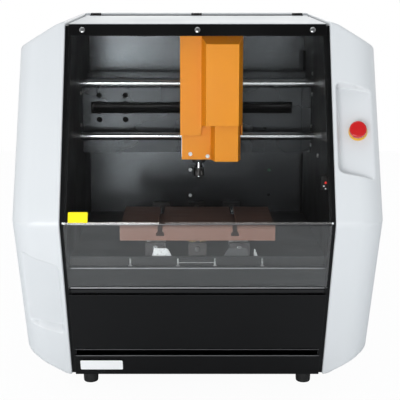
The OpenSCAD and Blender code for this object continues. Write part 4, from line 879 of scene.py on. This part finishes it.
sheetThick = 0.004  # the window and the lower panel lie this far behind the cabinet's front
windowLo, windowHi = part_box("hood_window")
footZ = 0.2645
# painted highlights: pale lines along the window's fold and along its foot
addBead("window_fold_highlight", {
    "x": (windowLo.x + 0.004, windowHi.x - 0.004), "y": windowLo.y + 0.0006, "z": cowlShape["nose"],
    "radius": 0.0011, "finish": "foldEdge",
}, "hood")
addBead("window_foot_highlight", {
    "x": (windowLo.x + 0.005, windowHi.x - 0.005), "y": frontAt(footZ, sheetThick), "z": footZ,
    "radius": 0.0011, "finish": "sheetEdge",
}, "hood")
# painted shade: a dark strip in the gap below the window's foot
addLabel("window_gap_shade", {
    "x": 0, "z": 0.2621, "size": (windowHi.x - windowLo.x - 0.002, 0.0032), "corner": 0.001, "sunk": 0,
    "finish": "darkGap",
}, "hood")
addLabel("yellow_label", {
    "x": -0.2475, "z": 0.432, "size": (0.0408, 0.0224), "corner": 0.0022, "sunk": 0.0001, "finish": "yellowLabel",
}, "hood")
addLabel("white_label", {
    "x": -0.2168, "z": 0.0575, "size": (0.096, 0.027), "corner": 0.003, "sunk": 0.0001, "finish": "whiteLabel",
})
print("stage: window lines and labels ready")


# screws seen through the window and on the outside: walls as (y, z), rear wall as z, cover and fold as x
seenScrews = {
    "rightWall": [(0.017, 0.7035), (0.014, 0.656), (0.015, 0.58), (0.021, 0.534), (-0.103, 0.529)],
    "leftWall": [(-0.005, 0.66), (-0.006, 0.585)],
    "rearX": -0.016, "rearHigh": 0.4485, "rearLow": 0.3815,
    "coverLeft": -0.0155, "coverRight": 0.0229, "coverZ": 0.5316, "boxDeep": 0.03,
    "foldX": 0.2788, "foldZ": 0.4195, "foldIn": 0.0001,
}


def makeSeenScrews(look):
    wall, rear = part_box("side_plate_right")[0].x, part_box("lower_rear_wall")[0].y
    spots = [(wall, y, z, -1, 0, 0) for y, z in look["rightWall"]]
    spots += [(-wall, y, z, 1, 0, 0) for y, z in look["leftWall"]]
    addHeads("wall_heads", "middle", spots, "zinc_steel")
    addHeads("rear_heads", "middle", [(look["rearX"], rear, look["rearHigh"], 0, -1, 0)], "bright_zinc")
    addHeads("rear_flush", "flush", [(look["rearX"], rear, look["rearLow"], 0, -1, 0)], "bright_zinc")
    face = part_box("head_cover_lower")[0].y
    spots = [(look["coverLeft"], face + look["boxDeep"], look["coverZ"], 0, -1, 0)]
    spots += [(look["coverRight"], face, look["coverZ"], 0, -1, 0)]
    addHeads("head_heads", "middle", spots, "bright_zinc", "z_slide")
    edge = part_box("side_plate_left")[0].y + look["foldIn"]
    spots = [(x, edge, look["foldZ"], 0, -1, 0) for x in (-look["foldX"], look["foldX"])]
    addHeads("fold_heads", "fold", spots, "bright_zinc")


makeSeenScrews(seenScrews)
print("stage: screw heads ready")


# lead screws: places along the axis, (radius, end) of rod and coupler, end of the stub, the thread's two ends
screwLooks = {
    "x_screw": {
        "finish": "black_steel", "axis": 0, "start": -0.268, "rod": (0.006, 0.247), "coupler": (0.011, 0.269),
        "stub": 0.291, "pitch": 0.005, "deep": 0.0009, "thread": (-0.25, 0.235),
    },
    "y_screw": {
        "finish": "black_steel", "axis": 1, "start": -0.238, "rod": (0.006, 0.18), "coupler": None,
        "stub": 0.192, "pitch": 0.005, "deep": 0.0009, "thread": (-0.214, 0.165),
    },
    "z_screw": {
        "finish": "screw_steel", "axis": 2, "start": 0.512, "rod": (0.004, 0.71), "coupler": (0.0087, 0.724),
        "stub": 0.736, "pitch": 0.004, "deep": 0.0007, "thread": (0.53, 0.7),
    },
}


def screwRows(look):
    # rows of (place along the axis, radius, groove depth): end chamfer, threaded rod, bevelled coupler, stub
    bevel, step, split, groove, thin = 0.0006, 0.001, 0.0006, 0.0008, 0.003175
    rod, end = look["rod"]
    t0, t1 = look["thread"]
    rows = [(look["start"], 0, 0), (look["start"], rod - bevel, 0), (look["start"] + bevel, rod, 0)]
    count = int((t1 - t0) / look["pitch"] * 10)
    depth = np.full(count, look["deep"])
    depth[[0, -1]] = 0
    rows += list(zip(np.linspace(t0, t1, count), np.full(count, rod), depth)) + [(end, rod, 0)]
    if look["coupler"]:
        wide, far = look["coupler"]
        middle = (end + far) / 2
        rows += [(end, wide - step, 0), (end + step, wide, 0)]
        rows += [(middle - split, wide, 0), (middle - split, wide - groove, 0)]
        rows += [(middle + split, wide - groove, 0), (middle + split, wide, 0)]
        rows += [(far - step, wide, 0), (far, wide - step, 0)]
        end = far
    far = look["stub"]
    rows += [(end, thin, 0), (far - 0.0005, thin, 0), (far, thin - 0.0005, 0), (far, 0, 0)]
    return np.array(rows)


def addScrew(name, look):
    # turned screw whose radius falls with the phase along its axis, which advances one pitch a turn: a groove of
    # half a width, in pitches, to each side of its middle, with sloping flanks
    lo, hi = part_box(name)
    axis, count, half, flank = look["axis"], 24, 0.32, 0.1
    centre = (np.array(lo) + np.array(hi)) / 2
    rows = screwRows(look)
    turn = turnAngles(count)
    phase = (rows[:, :1] / look["pitch"] - turn / (2 * math.pi)) % 1
    radius = rows[:, 1:2] - rows[:, 2:] * np.clip((half - abs(phase - 0.5)) / flank, 0, 1)
    points = np.empty((len(rows), count, 3))
    points[..., axis] = rows[:, :1]
    points[..., (axis + 1) % 3] = centre[(axis + 1) % 3] + radius * np.cos(turn)
    points[..., (axis + 2) % 3] = centre[(axis + 2) % 3] + radius * np.sin(turn)
    piece = addPiece(name + "_turned", points, gridQuads(len(rows), count), look["finish"], name)
    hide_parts(name)


for screwName, screwLook in screwLooks.items():
    addScrew(screwName, screwLook)
print("stage: lead screws ready")


# feet: turned rubber, flange under the pan, waist, tapering body, rounded sole
footLook = {
    "radius": 0.017,
    "profile": [
        (0, 0), (0.0142, 0), (0.0156, 0.0004), (0.0164, 0.0018), (0.0168, 0.0045), (0.0172, 0.016),
        (0.0173, 0.0185), (0.0178, 0.0195), (0.018, 0.021), (0.018, 0.0325), (0.0172, 0.0338), (0, 0.0338),
    ],
}


def makeFeet(look):
    (x0, y0, _), (x1, y1, _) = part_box("feet")
    r = look["radius"]
    spots = [(x, y, 0) for x in (x0 + r, x1 - r) for y in (y0 + r, y1 - r)]
    piece = addTurned("feet_turned", look["profile"], 48, spots, "foot_rubber")
    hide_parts("feet")


makeFeet(footLook)

# chamber fittings
def wallBoxes(y, near, far, spans):
    # boxes on a wall at y, from near to far of it, over spans of (x0, x1, z0, z1)
    return [(x0, y + near, z0, x1, y + far, z1) for x0, x1, z0, z1 in spans]


beamLo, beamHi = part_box("x_beam")
seamShadeLines = {"end": (0.0012, 0.0002), "fold": (0.0235, 0.0225), "deep": 0.001}
slot = {"x": (-0.25, 0.225), "z": 0.622, "radius": 0.0125, "margin": 0.0012, "proud": 0.0004, "inset": 0.00015}
holeRows = {"x": (-0.248, -0.15), "z": ((0.014, 0.039), (-0.039, -0.014))}
wallSlotShade = {"upper_rear_wall": (0.2655, 0.2715, 0.7, 0.7495), "lower_rear_wall": (0.2655, 0.2695, 0.3365, 0.488)}
switchMarks = [(0.263, 0.2662, 0.488, 0.4905), (0.2668, 0.2698, 0.4822, 0.4848)]
switchLamp = {"x": 0.2682, "z": 0.4965}


def makeBeamSeamShade(look):
    # painted shade: two upright dark lines at the beam's right end, on its end face and the fold before it
    deep, z0, z1 = look["deep"], beamLo.z, beamHi.z
    end, fold = [[beamHi.x - inset for inset in look[line]] for line in ("end", "fold")]
    boxes = wallBoxes(beamLo.y, -0.0004, deep, [(*end, z0, z1)])
    boxes += wallBoxes(beamLo.y, -0.0003, deep, [(*fold, z0 + deep, z1 - deep)])
    addBox("beam_seam_shade", boxes, "darkGap")


def makeSlotShade(look):
    # painted shade lining the long slot: the outline of a rounded slot inside a square-cornered one, swept as a
    # closed ring
    count = 96
    turn = turnAngles(count) + 0.01
    co, si = np.cos(turn), np.sin(turn)
    y0, y1 = beamLo.y - look["proud"], beamHi.y
    mid = np.where(co > 0, look["x"][1] - look["radius"], look["x"][0] + look["radius"])
    inner = look["radius"] - look["inset"]
    outer = (look["radius"] + look["margin"]) / np.maximum(abs(co), abs(si))
    back, foot = y0 + look["proud"], inner + 0.0001
    rings = [(inner, y1), (inner, y0), (outer, y0), (outer, back), (foot, back), (foot, y1)]
    points = np.stack([np.stack([mid + r * co, np.full(count, y), look["z"] + r * si], -1) for r, y in rings])
    quads = gridQuads(len(rings) + 1, count) % (len(rings) * count)
    addPiece("slot_shade", points, quads, "darkGap", smooth=False)


makeBeamSeamShade(seamShadeLines)
makeSlotShade(slot)
# painted shade: dark plates behind the beam's two rows of holes
spans = [(*holeRows["x"], slot["z"] + z0, slot["z"] + z1) for z0, z1 in holeRows["z"]]
addBox("hole_shade", wallBoxes(beamHi.y, 0.0002, 0.0006, spans), "darkGap")
# painted shade: dark strips in the corner gaps of the rear walls
boxes = [wallBoxes(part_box(wall)[0].y, -0.0006, 0.001, [span]) for wall, span in wallSlotShade.items()]
addBox("wall_slot_shade", boxes, "darkGap")
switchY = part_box("door_switch")[0].y
addBox("switch_marks", wallBoxes(switchY, -0.0004, 0.0005, switchMarks), "whiteLabel")
addHeads("switch_lamp", "lamp", [(switchLamp["x"], switchY, switchLamp["z"], 0, -1, 0)], "redLamp")

# trough: four upright studs of washer, neck and rounded cap, a fine rod between the middle two, and a pale line
# on its lip that is a painted highlight
studs = {
    "x": (-0.1435, -0.0419, 0.0372, 0.1383), "y": -0.244, "z": 0.315,
    "profile": [
        (0, 0), (0.0042, 0), (0.0042, 0.001), (0.0021, 0.0012), (0.0019, 0.0125), (0.0021, 0.0132),
        (0.0021, 0.0148), (0.0012, 0.0162), (0, 0.0164),
    ],
}
addTurned("trough_studs", studs["profile"], 20, [(x, studs["y"], studs["z"]) for x in studs["x"]], "zinc_steel")
addBead("trough_rod", {
    "x": (studs["x"][1] + 0.002, studs["x"][2] - 0.002), "y": studs["y"], "z": 0.322, "radius": 0.0006,
    "finish": "zinc_steel",
})
addBead("trough_lip_highlight", {
    "x": (-0.269, 0.269), "y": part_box("floor_pan")[0].y - 0.0001, "z": 0.3135, "radius": 0.0009,
    "finish": "sheetEdge",
})

# plates before the table's rod supports: outlines of (x, z); the dark plate is painted shade
paleOutlines = [
    [(-0.101, 0.322), (-0.049, 0.322), (-0.064, 0.351), (-0.093, 0.351)],
    [(0.12, 0.322), (0.133, 0.322), (0.124, 0.349), (0.121, 0.349)],
]
darkOutlines = [[(0.047, 0.322), (0.112, 0.322), (0.104, 0.351), (0.066, 0.351)]]
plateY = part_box("y_rod_supports")[0].y
addPlates("support_plates", paleOutlines, plateY - 0.0014, plateY - 0.0002, "zinc_steel")
addPlates("support_shade", darkOutlines, plateY - 0.0014, plateY - 0.0002, "dark_block")

# painted highlights along the folded edges round the drawer, and painted shade as the dark line of the hinge gap
panelLo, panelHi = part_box("lower_front_panel")
drawerLo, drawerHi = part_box("drawer")
addBead("panel_edge_highlight", {
    "x": (panelLo.x + 0.004, panelHi.x - 0.004), "y": frontAt(panelHi.z, sheetThick) + 0.001,
    "z": panelHi.z + 0.0002, "radius": 0.0009, "finish": "foldPale",
})
addBead("drawer_edge_highlight", {
    "x": (drawerLo.x + 0.004, drawerHi.x - 0.004), "y": frontAt(0.1, 0.0055), "z": 0.1002, "radius": 0.0009,
    "finish": "foldDark",
}, "drawer")
# painted shade: a dark line in the hinge gap behind the lid
addBead("hinge_gap_shade", {
    "x": (-0.271, 0.271), "y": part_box("top_rear_cover")[0].y + 0.0003, "z": 0.8362, "radius": 0.0011,
    "finish": "darkGap",
})
print("stage: chamber fittings ready")

# back and underside
backLook = {
    "sideIn": 0.011, "sideZ": (0.055, 0.232, 0.41, 0.588, 0.765), "footX": (-0.14, 0, 0.14), "footZ": 0.055,
    "panX": (-0.2, 0, 0.2), "panIn": 0.02, "pins": ((0, -0.009), (-0.007, -0.015), (0.007, -0.015)),
    "pinHalf": (0.001, 0.002), "pinDeep": (0.019, 0.004),
}


def makeBack(look):
    # screws round the back cover and under the pan, and the three pins of the inlet
    (x0, _, _), (x1, y, _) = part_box("back_cover")
    spots = [(x, y, z, 0, 1, 0) for x in (x0 + look["sideIn"], x1 - look["sideIn"]) for z in look["sideZ"]]
    spots += [(x, y, look["footZ"], 0, 1, 0) for x in look["footX"]]
    addHeads("back_heads", "middle", spots, "black_steel")
    lo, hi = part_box("base_pan")
    rows = (lo.y + look["panIn"], hi.y - look["panIn"])
    spots = [(x, row, lo.z, 0, 0, -1) for x in look["panX"] for row in rows]
    addHeads("pan_heads", "small", spots, "black_steel")
    lo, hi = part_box("power_inlet")
    x, z, (w, h), (near, far) = (lo.x + hi.x) / 2, (lo.z + hi.z) / 2, look["pinHalf"], look["pinDeep"]
    spans = [(x + dx - w, x + dx + w, z + dz - h, z + dz + h) for dx, dz in look["pins"]]
    addBox("inlet_pins", wallBoxes(y, -near, -far, spans), "brass_nut")


makeBack(backLook)
print("stage: back fittings ready")
